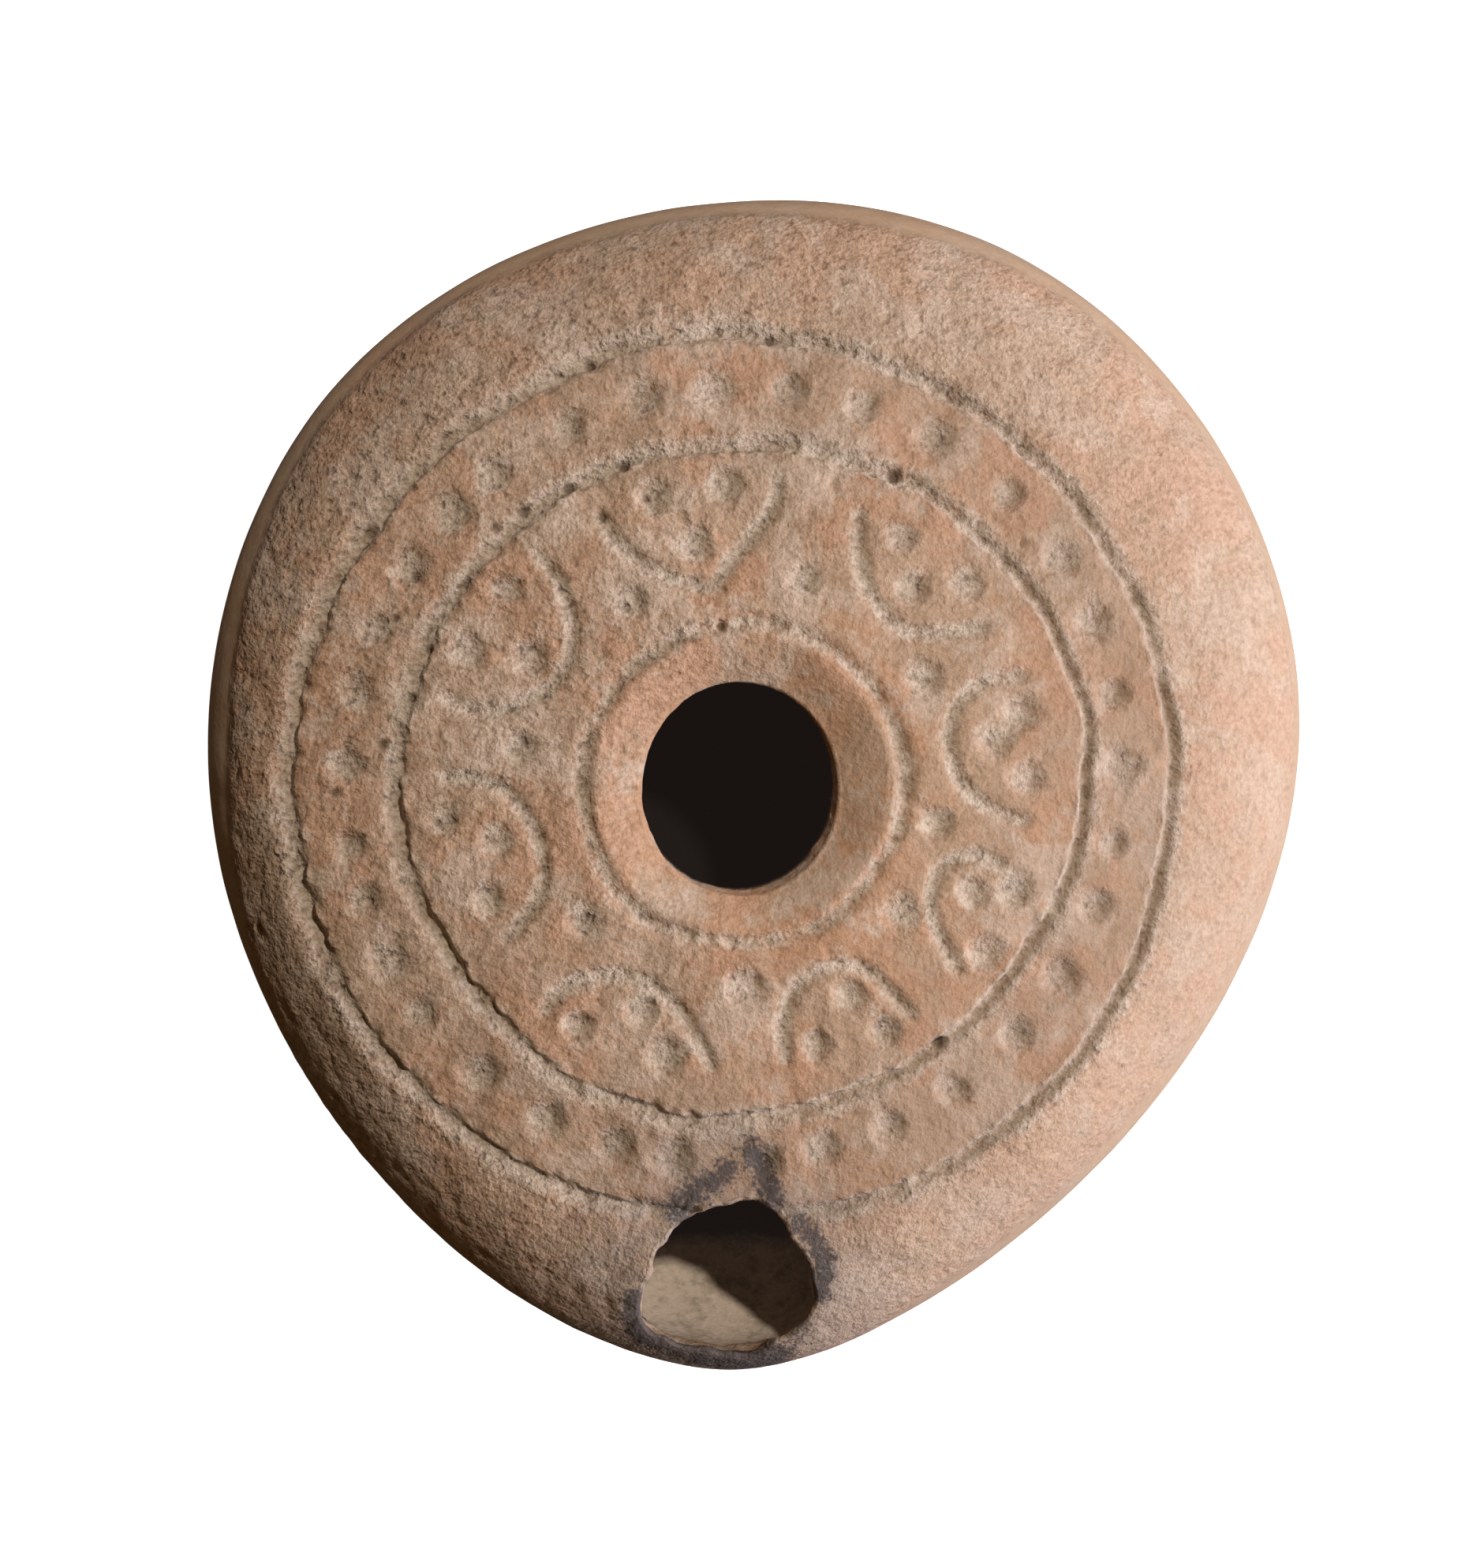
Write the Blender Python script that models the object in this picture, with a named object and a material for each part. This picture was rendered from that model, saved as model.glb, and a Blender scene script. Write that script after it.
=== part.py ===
"""A round oil lamp of fired clay, pressed in two moulds and joined round its widest line.

One hollow piece: a domed top with incised rings, punched marks and eight small arches, a filling
hole in its middle, a wick hole at its blunt nozzle, and a bowl below that stands on a low foot ring.
Metres, +Z up, nozzle towards -Y, the foot at Z = 0 and the outline's box centred on the Z axis.
Plan places are measured from the middle of the body's circle, and directions in degrees from +X.
A hand-drawn ring is a radius plus waves of (count round the ring, height, direction of a crest).
"""

import math

import bmesh
import bpy
import numpy as np
from mathutils import Matrix, Vector

# Widest line, where the mould's halves met
BODY_RADIUS = 0.0405
NOSE_RADIUS = 0.020
NOSE_CENTRE = (-0.0048, -0.0245)
HULL_POWER = 14.0
OUTLINE_WAVES = ((2, 0.00025, 76), (3, 0.00053, 39), (4, 0.00018, 13), (5, 0.00027, -7))

# Heights above the foot
WIDEST_HEIGHT = 0.015
CROWN_HEIGHT = 0.0298
DISC_FALL = 0.004
DISC_POWER = 2.2
SHOULDER_START = 20.0
BOWL_SWEEP = 72.0

# Incised rings of the top
DISC_CENTRE = (-0.0016, -0.0026)
OUTER_GROOVE_RADIUS = 0.0318
INNER_GROOVE_CENTRE = (-0.0011, -0.0026)
INNER_GROOVE_RADIUS = 0.0244
INNER_GROOVE_WAVES = ((2, 0.0003, 24), (3, 0.0002, 11), (4, 0.00013, -7), (6, 0.00014, 12))
HOLE_RING_CENTRE = (-0.0008, -0.003)
HOLE_RING_RADIUS = 0.01155
GROOVE_WIDTH = 0.0013
GROOVE_DEPTH = 0.00045

# Filling hole, its funnel, and the slant of the hole's wall
HOLE_CENTRE = (-0.00105, -0.0033)
HOLE_RADIUS = 0.0072
HOLE_WAVES = ((2, 0.0003, 90),)
HOLE_SLANT = (-0.0004, 0.0004)
FUNNEL_DROP = 0.0016
FUNNEL_POWER = 1.3

# Wick hole, broken through by hand
WICK_CENTRE = (-0.0022, -0.0393)
WICK_RADIUS = 0.00584
WICK_WAVES = ((1, 0.00039, 43), (2, 0.00043, 19), (3, 0.00036, -33), (5, 0.00024, -8))

# Clay walls round the oil chamber
SIDE_WALL = 0.0033
TIP_WALL = 0.0018
ROOF_WALL = 0.0032
FLOOR_WALL = 0.0042
CHAMBER_LIFT = 0.0015
CHAMBER_DISC_INSET = 0.003
CHAMBER_FOOT_INSET = 0.003
WICK_HOLE_LEDGE = 0.0003

# Foot ring
FOOT_CENTRE = (-0.0006, -0.0015)
FOOT_RADIUS = 0.017
FOOT_HEIGHT = 0.0008
FOOT_TAPER = 0.0004
FOOT_RING_WIDTH = 0.0035
FOOT_RECESS = 0.0006

# Row of punched marks between the two large grooves
PUNCH_COUNT = 33
PUNCH_DRIFT_START = 2.7
PUNCH_DRIFT_WAVES = ((1, 3.75, 100), (2, 0.9, -61))
PUNCH_RADIUS = 0.00105
PUNCH_DEPTH = 0.0005

# Arches that hang inwards from the inner groove: direction, distance and radius of the arch's
# circle, half of its sweep, and the direction and distance of each of its three punched dots
ARCHES = (
    (6, 0.0200, 0.0046, 100, ((0, 0.0208), (9, 0.0187), (13, 0.0207))),
    (47, 0.0228, 0.0067, 73, ((41, 0.0216), (48, 0.0185), (56, 0.0210))),
    (100, 0.0208, 0.0060, 83, ((93, 0.0212), (101, 0.0172), (107, 0.0213))),
    (149, 0.0207, 0.0061, 93, ((141, 0.0216), (150, 0.0174), (155, 0.0216))),
    (197, 0.0211, 0.0066, 82, ((188, 0.0215), (194, 0.0180), (206, 0.0201))),
    (247, 0.0221, 0.0061, 73, ((237, 0.0213), (247, 0.0180), (255, 0.0206))),
    (294, 0.0195, 0.0045, 100, ((286, 0.0201), (297, 0.0175), (300, 0.0210))),
    (332, 0.0209, 0.0045, 93, ((325, 0.0216), (334, 0.0187), (338, 0.0213))),
)
LONE_DOT_DISTANCE = 0.0151
STROKE_RADIUS = 0.00075
STROKE_DEPTH = 0.0004

# Fineness of the facets
SKIN_SIDES = 76
CHAMBER_SIDES = 48
HOLE_SIDES = 38
PUNCH_SIDES = 8
STROKE_STEP = 14.0
FUNNEL_ROWS = (1.2, 0.75, 0.35)
DISC_ROWS = (0.3, 0.65)
BAND_ROW = 0.5
CEILING_ROWS = (0.4, 0.75, 1.0)
SHOULDER_ROWS = 5
BOWL_ROWS = 5
PUNCH_OVERRUN = 1.2
OUTLINE_STEPS = 1440
CUT_MARGIN = 0.003
SHARP_ANGLE = 50.0

CLAY_COLOUR = (0.47, 0.29, 0.185, 1.0)
CLAY_ROUGHNESS = 0.9


def turn(sides):
    """Even steps round a full turn in radians, without its end."""
    return np.linspace(0.0, 2.0 * math.pi, sides, endpoint=False)


def heading(direction):
    """Unit plan vector that points in a direction in degrees."""
    return np.array([math.cos(math.radians(direction)), math.sin(math.radians(direction))])


def waves(angles, terms):
    """Sum of height * cos(count * (angle - direction)) over the waves."""
    return sum(h * np.cos(count * (angles - math.radians(crest))) for count, h, crest in terms)


def ring(centre, radius, sides, terms=()):
    """Plan points of a hand-drawn circle, its radius plus its waves at even turns."""
    angles = turn(sides)
    reach = radius + waves(angles, terms)
    return np.array(centre) + np.column_stack([reach * np.cos(angles), reach * np.sin(angles)])


def outline(side_wall, tip_wall, sides):
    """Plan points of the widest line, drawn in by a wall that may thin towards the nozzle's tip.

    The body's and the nose's circles each reach radius + centre . normal in a direction. The
    hull's reach is their power sum, and the curve with that reach is reach * normal plus the
    reach's slope * tangent. Its distance from the middle is then read at even turns.
    """
    directions = turn(OUTLINE_STEPS)
    body = BODY_RADIUS - side_wall
    nose_x, nose_y = NOSE_CENTRE
    nose = NOSE_RADIUS - tip_wall + nose_x * np.cos(directions) + nose_y * np.sin(directions)
    hull = body * (1.0 + (np.maximum(nose, 0.0) / body) ** HULL_POWER) ** (1.0 / HULL_POWER)
    reach = hull + waves(directions, OUTLINE_WAVES)
    slope = (np.roll(reach, -1) - np.roll(reach, 1)) / (2.0 * directions[1])
    x = reach * np.cos(directions) - slope * np.sin(directions)
    y = reach * np.sin(directions) + slope * np.cos(directions)
    angles = turn(sides)
    distance = np.interp(angles, np.arctan2(y, x), np.hypot(x, y), period=2.0 * math.pi)
    return np.column_stack([distance * np.cos(angles), distance * np.sin(angles)])


def between(first, last, share):
    """Points a share of the way from one ring's points to another's."""
    return first + (last - first) * share


def at_height(plan, height):
    """Plan points lifted to one height."""
    return np.column_stack([plan, np.full(len(plan), height)])


def top_height(plan):
    """Height of the domed top, without its marks: the crown less a power of the disc's radius."""
    reach = np.hypot(*(np.asarray(plan) - DISC_CENTRE).T)
    return CROWN_HEIGHT - DISC_FALL * (reach / OUTER_GROOVE_RADIUS) ** DISC_POWER


def on_top(plan, lift=0.0):
    """Plan points set on the domed top and moved up by a lift."""
    return np.column_stack([plan, top_height(plan) + lift])


def groove(centre, radius, terms=()):
    """Three rings across an incised groove: inner edge, bottom and outer edge."""
    steps = ((-GROOVE_WIDTH / 2, 0.0), (0.0, -GROOVE_DEPTH), (GROOVE_WIDTH / 2, 0.0))
    return [on_top(ring(centre, radius + out, SKIN_SIDES, terms), lift) for out, lift in steps]


def shoulder(edge, widest):
    """Rings from the disc's edge to the widest ring, along an ellipse that starts at a slope."""
    rows = []
    start = math.radians(SHOULDER_START)
    for angle in np.linspace(start, math.pi / 2, SHOULDER_ROWS + 1)[1:]:
        share = (math.sin(angle) - math.sin(start)) / (1.0 - math.sin(start))
        row = between(edge, widest, share)
        row[:, 2] = widest[:, 2] + (edge[:, 2] - widest[:, 2]) * math.cos(angle) / math.cos(start)
        rows.append(row)
    return rows


def bowl(widest, foot):
    """Rings from the widest ring down to the foot's, along part of an ellipse."""
    rows = []
    sweep = math.radians(BOWL_SWEEP)
    for angle in np.linspace(0.0, sweep, BOWL_ROWS + 1)[1:]:
        row = between(widest, foot, (1.0 - math.cos(angle)) / (1.0 - math.cos(sweep)))
        row[:, 2] = widest[:, 2] + (foot[:, 2] - widest[:, 2]) * math.sin(angle) / math.sin(sweep)
        rows.append(row)
    return rows


def mesh_object(name, bm, collection):
    """A new object that holds the bmesh with its faces turned outwards, in a collection."""
    bmesh.ops.recalc_face_normals(bm, faces=bm.faces)
    mesh = bpy.data.meshes.new(name)
    bm.to_mesh(mesh)
    bm.free()
    made = bpy.data.objects.new(name, mesh)
    collection.objects.link(made)
    return made


def loft(name, rings, collection):
    """A closed solid through rings of equal length, with a flat face over the first and last."""
    bm = bmesh.new()
    rows = [[bm.verts.new(point) for point in points] for points in rings]
    for row, following in zip(rows, rows[1:]):
        for i in range(len(row)):
            bm.faces.new((row[i - 1], row[i], following[i], following[i - 1]))
    bm.faces.new(rows[0])
    bm.faces.new(rows[-1])
    return mesh_object(name, bm, collection)


def hole_ring(sides):
    """Plan points of the filling hole's edge."""
    return ring(HOLE_CENTRE, HOLE_RADIUS, sides, HOLE_WAVES)


def top_rings():
    """Rings from inside the filling hole's edge out to the outer groove, with all three grooves."""
    around_hole = groove(HOLE_RING_CENTRE, HOLE_RING_RADIUS)
    inner = groove(INNER_GROOVE_CENTRE, INNER_GROOVE_RADIUS, INNER_GROOVE_WAVES)
    outer = groove(DISC_CENTRE, OUTER_GROOVE_RADIUS)
    hole_edge = hole_ring(SKIN_SIDES)
    funnel = []
    for share in FUNNEL_ROWS:
        plan = between(around_hole[0][:, :2], hole_edge, share)
        funnel.append(on_top(plan, -FUNNEL_DROP * share**FUNNEL_POWER))
    disc = [on_top(between(around_hole[2][:, :2], inner[0][:, :2], share)) for share in DISC_ROWS]
    band = [on_top(between(inner[2][:, :2], outer[0][:, :2], BAND_ROW))]
    return funnel + around_hole + disc + inner + band + outer


def foot_rings():
    """Rings round the foot: its side, its flat standing face and the recess inside it."""
    inner_radius = FOOT_RADIUS - FOOT_RING_WIDTH
    return [
        at_height(ring(FOOT_CENTRE, FOOT_RADIUS - FOOT_TAPER, SKIN_SIDES), 0.0),
        at_height(ring(FOOT_CENTRE, inner_radius, SKIN_SIDES), 0.0),
        at_height(ring(FOOT_CENTRE, inner_radius - FOOT_TAPER, SKIN_SIDES), FOOT_RECESS),
    ]


def lamp_skin(collection):
    """The lamp's outer skin as a solid, with its grooves but without its hollow."""
    top = top_rings()
    widest = at_height(outline(0.0, 0.0, SKIN_SIDES), WIDEST_HEIGHT)
    foot = at_height(ring(FOOT_CENTRE, FOOT_RADIUS, SKIN_SIDES), FOOT_HEIGHT)
    rings = top + shoulder(top[-1], widest) + bowl(widest, foot) + foot_rings()
    return loft("lamp_body", rings, collection)


def chamber(collection):
    """The oil chamber: the outer form drawn in by the clay's walls."""
    disc_radius = OUTER_GROOVE_RADIUS - CHAMBER_DISC_INSET
    ceiling = [
        on_top(ring(DISC_CENTRE, disc_radius * share, CHAMBER_SIDES), -ROOF_WALL)
        for share in CEILING_ROWS
    ]
    widest = at_height(
        outline(SIDE_WALL, TIP_WALL, CHAMBER_SIDES), WIDEST_HEIGHT + CHAMBER_LIFT
    )
    floor = at_height(
        ring(FOOT_CENTRE, FOOT_RADIUS - CHAMBER_FOOT_INSET, CHAMBER_SIDES), FLOOR_WALL
    )
    rings = ceiling + shoulder(ceiling[-1], widest) + bowl(widest, floor)
    return loft("chamber_cutter", rings, collection)


def filling_hole(collection):
    """A slanted oval plug from above the crown to inside the chamber."""
    edge = hole_ring(HOLE_SIDES)
    above = at_height(edge, CROWN_HEIGHT + CUT_MARGIN)
    below = at_height(edge + HOLE_SLANT, CROWN_HEIGHT - ROOF_WALL - FUNNEL_DROP - CUT_MARGIN)
    return loft("filling_hole_cutter", [above, below], collection)


def wick_hole(collection):
    """An upright plug with the wick hole's torn outline, from the chamber's widest level up."""
    edge = ring(WICK_CENTRE, WICK_RADIUS, HOLE_SIDES, WICK_WAVES)
    above = at_height(edge, CROWN_HEIGHT + CUT_MARGIN)
    below = at_height(edge, WIDEST_HEIGHT + CHAMBER_LIFT + WICK_HOLE_LEDGE)
    return loft("wick_hole_cutter", [above, below], collection)


def punch_places():
    """Plan places of all punched marks: the row, the arches' dots and the lone dots between."""
    places = []
    for number in range(PUNCH_COUNT):
        even = 360.0 * number / PUNCH_COUNT
        drift = PUNCH_DRIFT_START + waves(math.radians(even), PUNCH_DRIFT_WAVES)
        middle = (INNER_GROOVE_RADIUS + OUTER_GROOVE_RADIUS) / 2
        places.append(DISC_CENTRE + middle * heading(even + drift))
    for direction, _, _, _, dots in ARCHES:
        places += [INNER_GROOVE_CENTRE + distance * heading(turned) for turned, distance in dots]
    directions = [arch[0] for arch in ARCHES]
    for here, there in zip(directions, directions[1:] + [directions[0] + 360]):
        places.append(INNER_GROOVE_CENTRE + LONE_DOT_DISTANCE * heading((here + there) / 2))
    return places


def add_punch(bm, place):
    """A cone square to the domed top, its point a punch's depth under it and its base above."""
    away = place - DISC_CENTRE
    reach = math.hypot(*away)
    steepness = DISC_POWER * (reach / OUTER_GROOVE_RADIUS) ** (DISC_POWER - 1.0)
    slope = DISC_FALL / OUTER_GROOVE_RADIUS * steepness
    normal = Vector((*(away / reach * slope), 1.0))
    foot = Matrix.Translation((*place, top_height(place)))
    tilt = normal.to_track_quat("Z", "Y").to_matrix().to_4x4()
    sink = Matrix.Translation((0.0, 0.0, PUNCH_DEPTH * (PUNCH_OVERRUN / 2 - 1.0)))
    bmesh.ops.create_cone(
        bm,
        cap_ends=True,
        segments=PUNCH_SIDES,
        radius1=0.0,
        radius2=PUNCH_RADIUS * PUNCH_OVERRUN,
        depth=PUNCH_DEPTH * PUNCH_OVERRUN,
        matrix=foot @ tilt @ sink,
    )


def punch_marks(collection):
    """All punched marks as one set of cones."""
    bm = bmesh.new()
    for place in punch_places():
        add_punch(bm, place)
    bmesh.ops.remove_doubles(bm, verts=bm.verts, dist=1e-6)
    return mesh_object("punch_cutters", bm, collection)


def arch_strokes(collection):
    """The arches' incised lines: round rods that sink into the domed top, as one mesh."""
    curve = bpy.data.curves.new("arch_strokes", "CURVE")
    curve.dimensions = "3D"
    curve.bevel_depth = STROKE_RADIUS
    curve.bevel_resolution = 1
    curve.use_fill_caps = True
    for direction, distance, radius, half_sweep, _ in ARCHES:
        count = round(2 * half_sweep / STROKE_STEP) + 1
        centre = INNER_GROOVE_CENTRE + distance * heading(direction)
        sweep = np.linspace(direction + 180 - half_sweep, direction + 180 + half_sweep, count)
        path = on_top([centre + radius * heading(turned) for turned in sweep])
        path[:, 2] += STROKE_RADIUS - STROKE_DEPTH
        spline = curve.splines.new("POLY")
        spline.points.add(count - 1)
        spline.points.foreach_set("co", np.column_stack([path, np.ones(count)]).ravel())
    rods = bpy.data.objects.new("arch_strokes", curve)
    collection.objects.link(rods)
    evaluated = rods.evaluated_get(bpy.context.evaluated_depsgraph_get())
    bm = bmesh.new()
    bm.from_mesh(bpy.data.meshes.new_from_object(evaluated))
    bmesh.ops.transform(bm, matrix=rods.matrix_world, verts=bm.verts)
    bmesh.ops.remove_doubles(bm, verts=bm.verts, dist=1e-6)
    bpy.data.objects.remove(rods)
    return mesh_object("arch_cutters", bm, collection)


def fired_clay():
    """Pinkish brown unglazed clay."""
    material = bpy.data.materials.new("fired_clay")
    material.use_nodes = True
    shader = material.node_tree.nodes["Principled BSDF"]
    shader.inputs["Base Color"].default_value = CLAY_COLOUR
    shader.inputs["Roughness"].default_value = CLAY_ROUGHNESS
    shader.inputs["Metallic"].default_value = 0.0
    return material


def new_collection(name):
    """A new collection in the scene."""
    collection = bpy.data.collections.new(name)
    bpy.context.scene.collection.children.link(collection)
    return collection


def build():
    """Clears the scene and builds the lamp, its cutters left live on it."""
    for old in list(bpy.data.objects):
        bpy.data.objects.remove(old)
    parts = new_collection("ceramic_oil_lamp")
    cutters = new_collection("cutters")
    lamp = lamp_skin(parts)
    box = outline(0.0, 0.0, SKIN_SIDES)
    middle = (box.min(axis=0) + box.max(axis=0)) / 2
    for make in (chamber, filling_hole, wick_hole, punch_marks, arch_strokes):
        cutter = make(cutters)
        cutter.parent = lamp
        cutter.hide_render = True
        cutter.display_type = "WIRE"
        cut = lamp.modifiers.new(cutter.name, "BOOLEAN")
        cut.operation = "DIFFERENCE"
        cut.solver = "EXACT"
        cut.object = cutter
    lamp.location = (-middle[0], -middle[1], 0.0)
    lamp.data.materials.append(fired_clay())
    lamp.data.shade_smooth()
    lamp.data.set_sharp_from_angle(angle=math.radians(SHARP_ANGLE))


build()
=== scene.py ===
import math

import bpy
import numpy as np
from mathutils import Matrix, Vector


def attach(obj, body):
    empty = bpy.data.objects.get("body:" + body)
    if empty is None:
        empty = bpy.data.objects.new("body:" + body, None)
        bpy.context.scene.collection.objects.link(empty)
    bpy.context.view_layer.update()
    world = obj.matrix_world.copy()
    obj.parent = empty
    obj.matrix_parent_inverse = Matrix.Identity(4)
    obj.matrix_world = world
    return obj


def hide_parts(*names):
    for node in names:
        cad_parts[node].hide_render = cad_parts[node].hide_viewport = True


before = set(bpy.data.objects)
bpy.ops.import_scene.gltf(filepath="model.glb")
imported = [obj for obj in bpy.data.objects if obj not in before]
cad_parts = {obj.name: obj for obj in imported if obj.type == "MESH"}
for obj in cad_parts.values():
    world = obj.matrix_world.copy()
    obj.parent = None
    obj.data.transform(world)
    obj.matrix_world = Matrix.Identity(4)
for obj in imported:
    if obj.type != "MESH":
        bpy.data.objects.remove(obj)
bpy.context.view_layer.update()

# Camera: straight above the lamp, as the photograph looks down on it, nozzle at the bottom.
# The whole picture is 1876 by 1987, and its long side spans 115 mm at the lamp's widest line.

MM = 0.001
VIEW_X = -0.99 * MM
VIEW_HEIGHT = 615 * MM
VIEW_LENS = 187.4
VIEW_SENSOR = 36.0
VIEW_NEAR = 0.05
VIEW_FAR = 20.0

camera_data = bpy.data.cameras.new("camera")
camera_data.sensor_width = VIEW_SENSOR
camera_data.lens = VIEW_LENS
camera_data.clip_start = VIEW_NEAR
camera_data.clip_end = VIEW_FAR
camera = bpy.data.objects.new("camera", camera_data)
camera.location = (VIEW_X, 0.0, VIEW_HEIGHT)
bpy.context.scene.collection.objects.link(camera)
bpy.context.scene.camera = camera
bpy.context.scene.view_settings.view_transform = "Standard"

# Lamp body, form: one hollow piece of pinkish brown fired clay. Its top and bowl were pressed in
# two moulds and joined round the widest line while wet, which was then wiped smooth by a finger.
# Millimetres from the middle of the body's circle; heights from the foot; directions from +X.

BODY_RADIUS = 40.5
NOSE_RADIUS = 20.0
NOSE_CENTRE = (-4.8, -24.5)
HULL_POWER = 14.0
OUTLINE_WAVES = ((2, 0.25, 76), (3, 0.53, 39), (4, 0.18, 13), (5, 0.27, -7))
OUTLINE_STEPS = 1440
SOLID_SIDES = 76

WIDEST_HEIGHT = 15.0
CROWN_HEIGHT = 29.8
DISC_FALL = 4.0
DISC_POWER = 2.2
SHOULDER_START = math.radians(20.0)
BOWL_SWEEP = math.radians(72.0)

DISC_CENTRE = np.array([-1.6, -2.6])
GROOVE_RADIUS = 31.8
DISC_EDGE = 32.45
HOLE_CENTRE = np.array([-1.05, -3.3])
HOLE_RADIUS = 7.2
HOLE_WAVES = ((2, 0.3, 90),)
HOLE_RIM = 0.35
RING_CENTRE = np.array([-0.8, -3.0])
RING_RADIUS = 11.55
FUNNEL_EDGE = 10.9
FUNNEL_DROP = 1.6
FUNNEL_POWER = 1.3

FOOT_CENTRE = np.array([-0.6, -1.5])
FOOT_RADIUS = 17.0
FOOT_HEIGHT = 0.8

SIDE_WALL = 3.3
TIP_WALL = 1.8
ROOF_WALL = 3.2
FLOOR_HEIGHT = 4.2
CHAMBER_LIFT = 1.5
CHAMBER_EDGE = 28.8
CHAMBER_FOOT = 14.0
FULL_TURN = 2.0 * math.pi
NORMAL_STEP = 0.004


def even_turns(count):
    """Even directions round a full turn."""
    return np.linspace(0.0, FULL_TURN, count, endpoint=False)


def waves(turns, terms):
    """Sum of height * cos(count * (turn - crest)) over the waves (count, height, crest)."""
    return sum(h * np.cos(n * (turns - math.radians(crest))) for n, h, crest in terms)


def outline(side_wall, tip_wall):
    """Plan points of the widest line, drawn in by a wall.

    The body's circle and the nose's circle each reach radius + centre . normal in a direction;
    the hull's reach is their power sum plus the waves of a hand-made rim. The curve with that
    reach is reach * normal + (slope of the reach) * tangent.
    """
    turns = even_turns(OUTLINE_STEPS)
    body = BODY_RADIUS - side_wall
    along_nose = NOSE_CENTRE[0] * np.cos(turns) + NOSE_CENTRE[1] * np.sin(turns)
    nose = np.maximum(NOSE_RADIUS - tip_wall + along_nose, 0.0)
    reach = body * (1.0 + (nose / body) ** HULL_POWER) ** (1.0 / HULL_POWER)
    reach = reach + waves(turns, OUTLINE_WAVES)
    slope = (np.roll(reach, -1) - np.roll(reach, 1)) / (2.0 * turns[1])
    x = reach * np.cos(turns) - slope * np.sin(turns)
    y = reach * np.sin(turns) + slope * np.cos(turns)
    return np.column_stack([x, y])


def box_middle():
    """Middle of the box round the widest line as the solid has it, a polygon of even turns."""
    line = outline(0.0, 0.0)
    turns = even_turns(SOLID_SIDES)
    bearing = np.arctan2(line[:, 1], line[:, 0])
    reach = np.interp(turns, bearing, np.hypot(*line.T), period=FULL_TURN)
    corners = np.column_stack([reach * np.cos(turns), reach * np.sin(turns)])
    return (corners.min(axis=0) + corners.max(axis=0)) / 2.0


def reach_from(centre, points, turns):
    """Distance of a closed line of plan points from a centre, read in each direction: linear
    between the points' own bearings and distances."""
    out = points - centre
    bearing = np.arctan2(out[:, 1], out[:, 0])
    return np.interp(turns, bearing, np.hypot(*out.T), period=FULL_TURN)


def wavy_circle(centre, radius, terms, turns):
    """Plan points centre + (radius + waves) * heading."""
    reach = radius + waves(turns, terms)
    return centre + np.stack([reach * np.cos(turns), reach * np.sin(turns)], axis=-1)


ALL_ROUND = even_turns(OUTLINE_STEPS)
HOLE_LINE = wavy_circle(HOLE_CENTRE, HOLE_RADIUS + HOLE_RIM, HOLE_WAVES, ALL_ROUND)
OUTER_LINE = outline(0.0, 0.0)
INNER_LINE = outline(SIDE_WALL, TIP_WALL)


def dome_height(x, y):
    """Height of the bare top: the crown less a power of the distance from the disc's middle, and
    less the funnel, whose drop is a power of the way from its edge in to the filling hole's."""
    reach = np.hypot(x - DISC_CENTRE[0], y - DISC_CENTRE[1])
    height = CROWN_HEIGHT - DISC_FALL * (reach / GROOVE_RADIUS) ** DISC_POWER
    bearing = np.arctan2(y - HOLE_CENTRE[1], x - HOLE_CENTRE[0])
    from_hole = np.hypot(x - HOLE_CENTRE[0], y - HOLE_CENTRE[1])
    shift = RING_CENTRE - HOLE_CENTRE
    edge = FUNNEL_EDGE + shift[0] * np.cos(bearing) + shift[1] * np.sin(bearing)
    hole = HOLE_RADIUS + waves(bearing, HOLE_WAVES)
    share = np.clip((edge - from_hole) / (edge - hole), 0.0, 1.1)
    return height - FUNNEL_DROP * share**FUNNEL_POWER


def roof_height(x, y):
    """Height of the chamber's ceiling: the dome without its funnel, less the roof's wall."""
    reach = np.hypot(x - DISC_CENTRE[0], y - DISC_CENTRE[1])
    return CROWN_HEIGHT - DISC_FALL * (reach / GROOVE_RADIUS) ** DISC_POWER - ROOF_WALL


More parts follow.
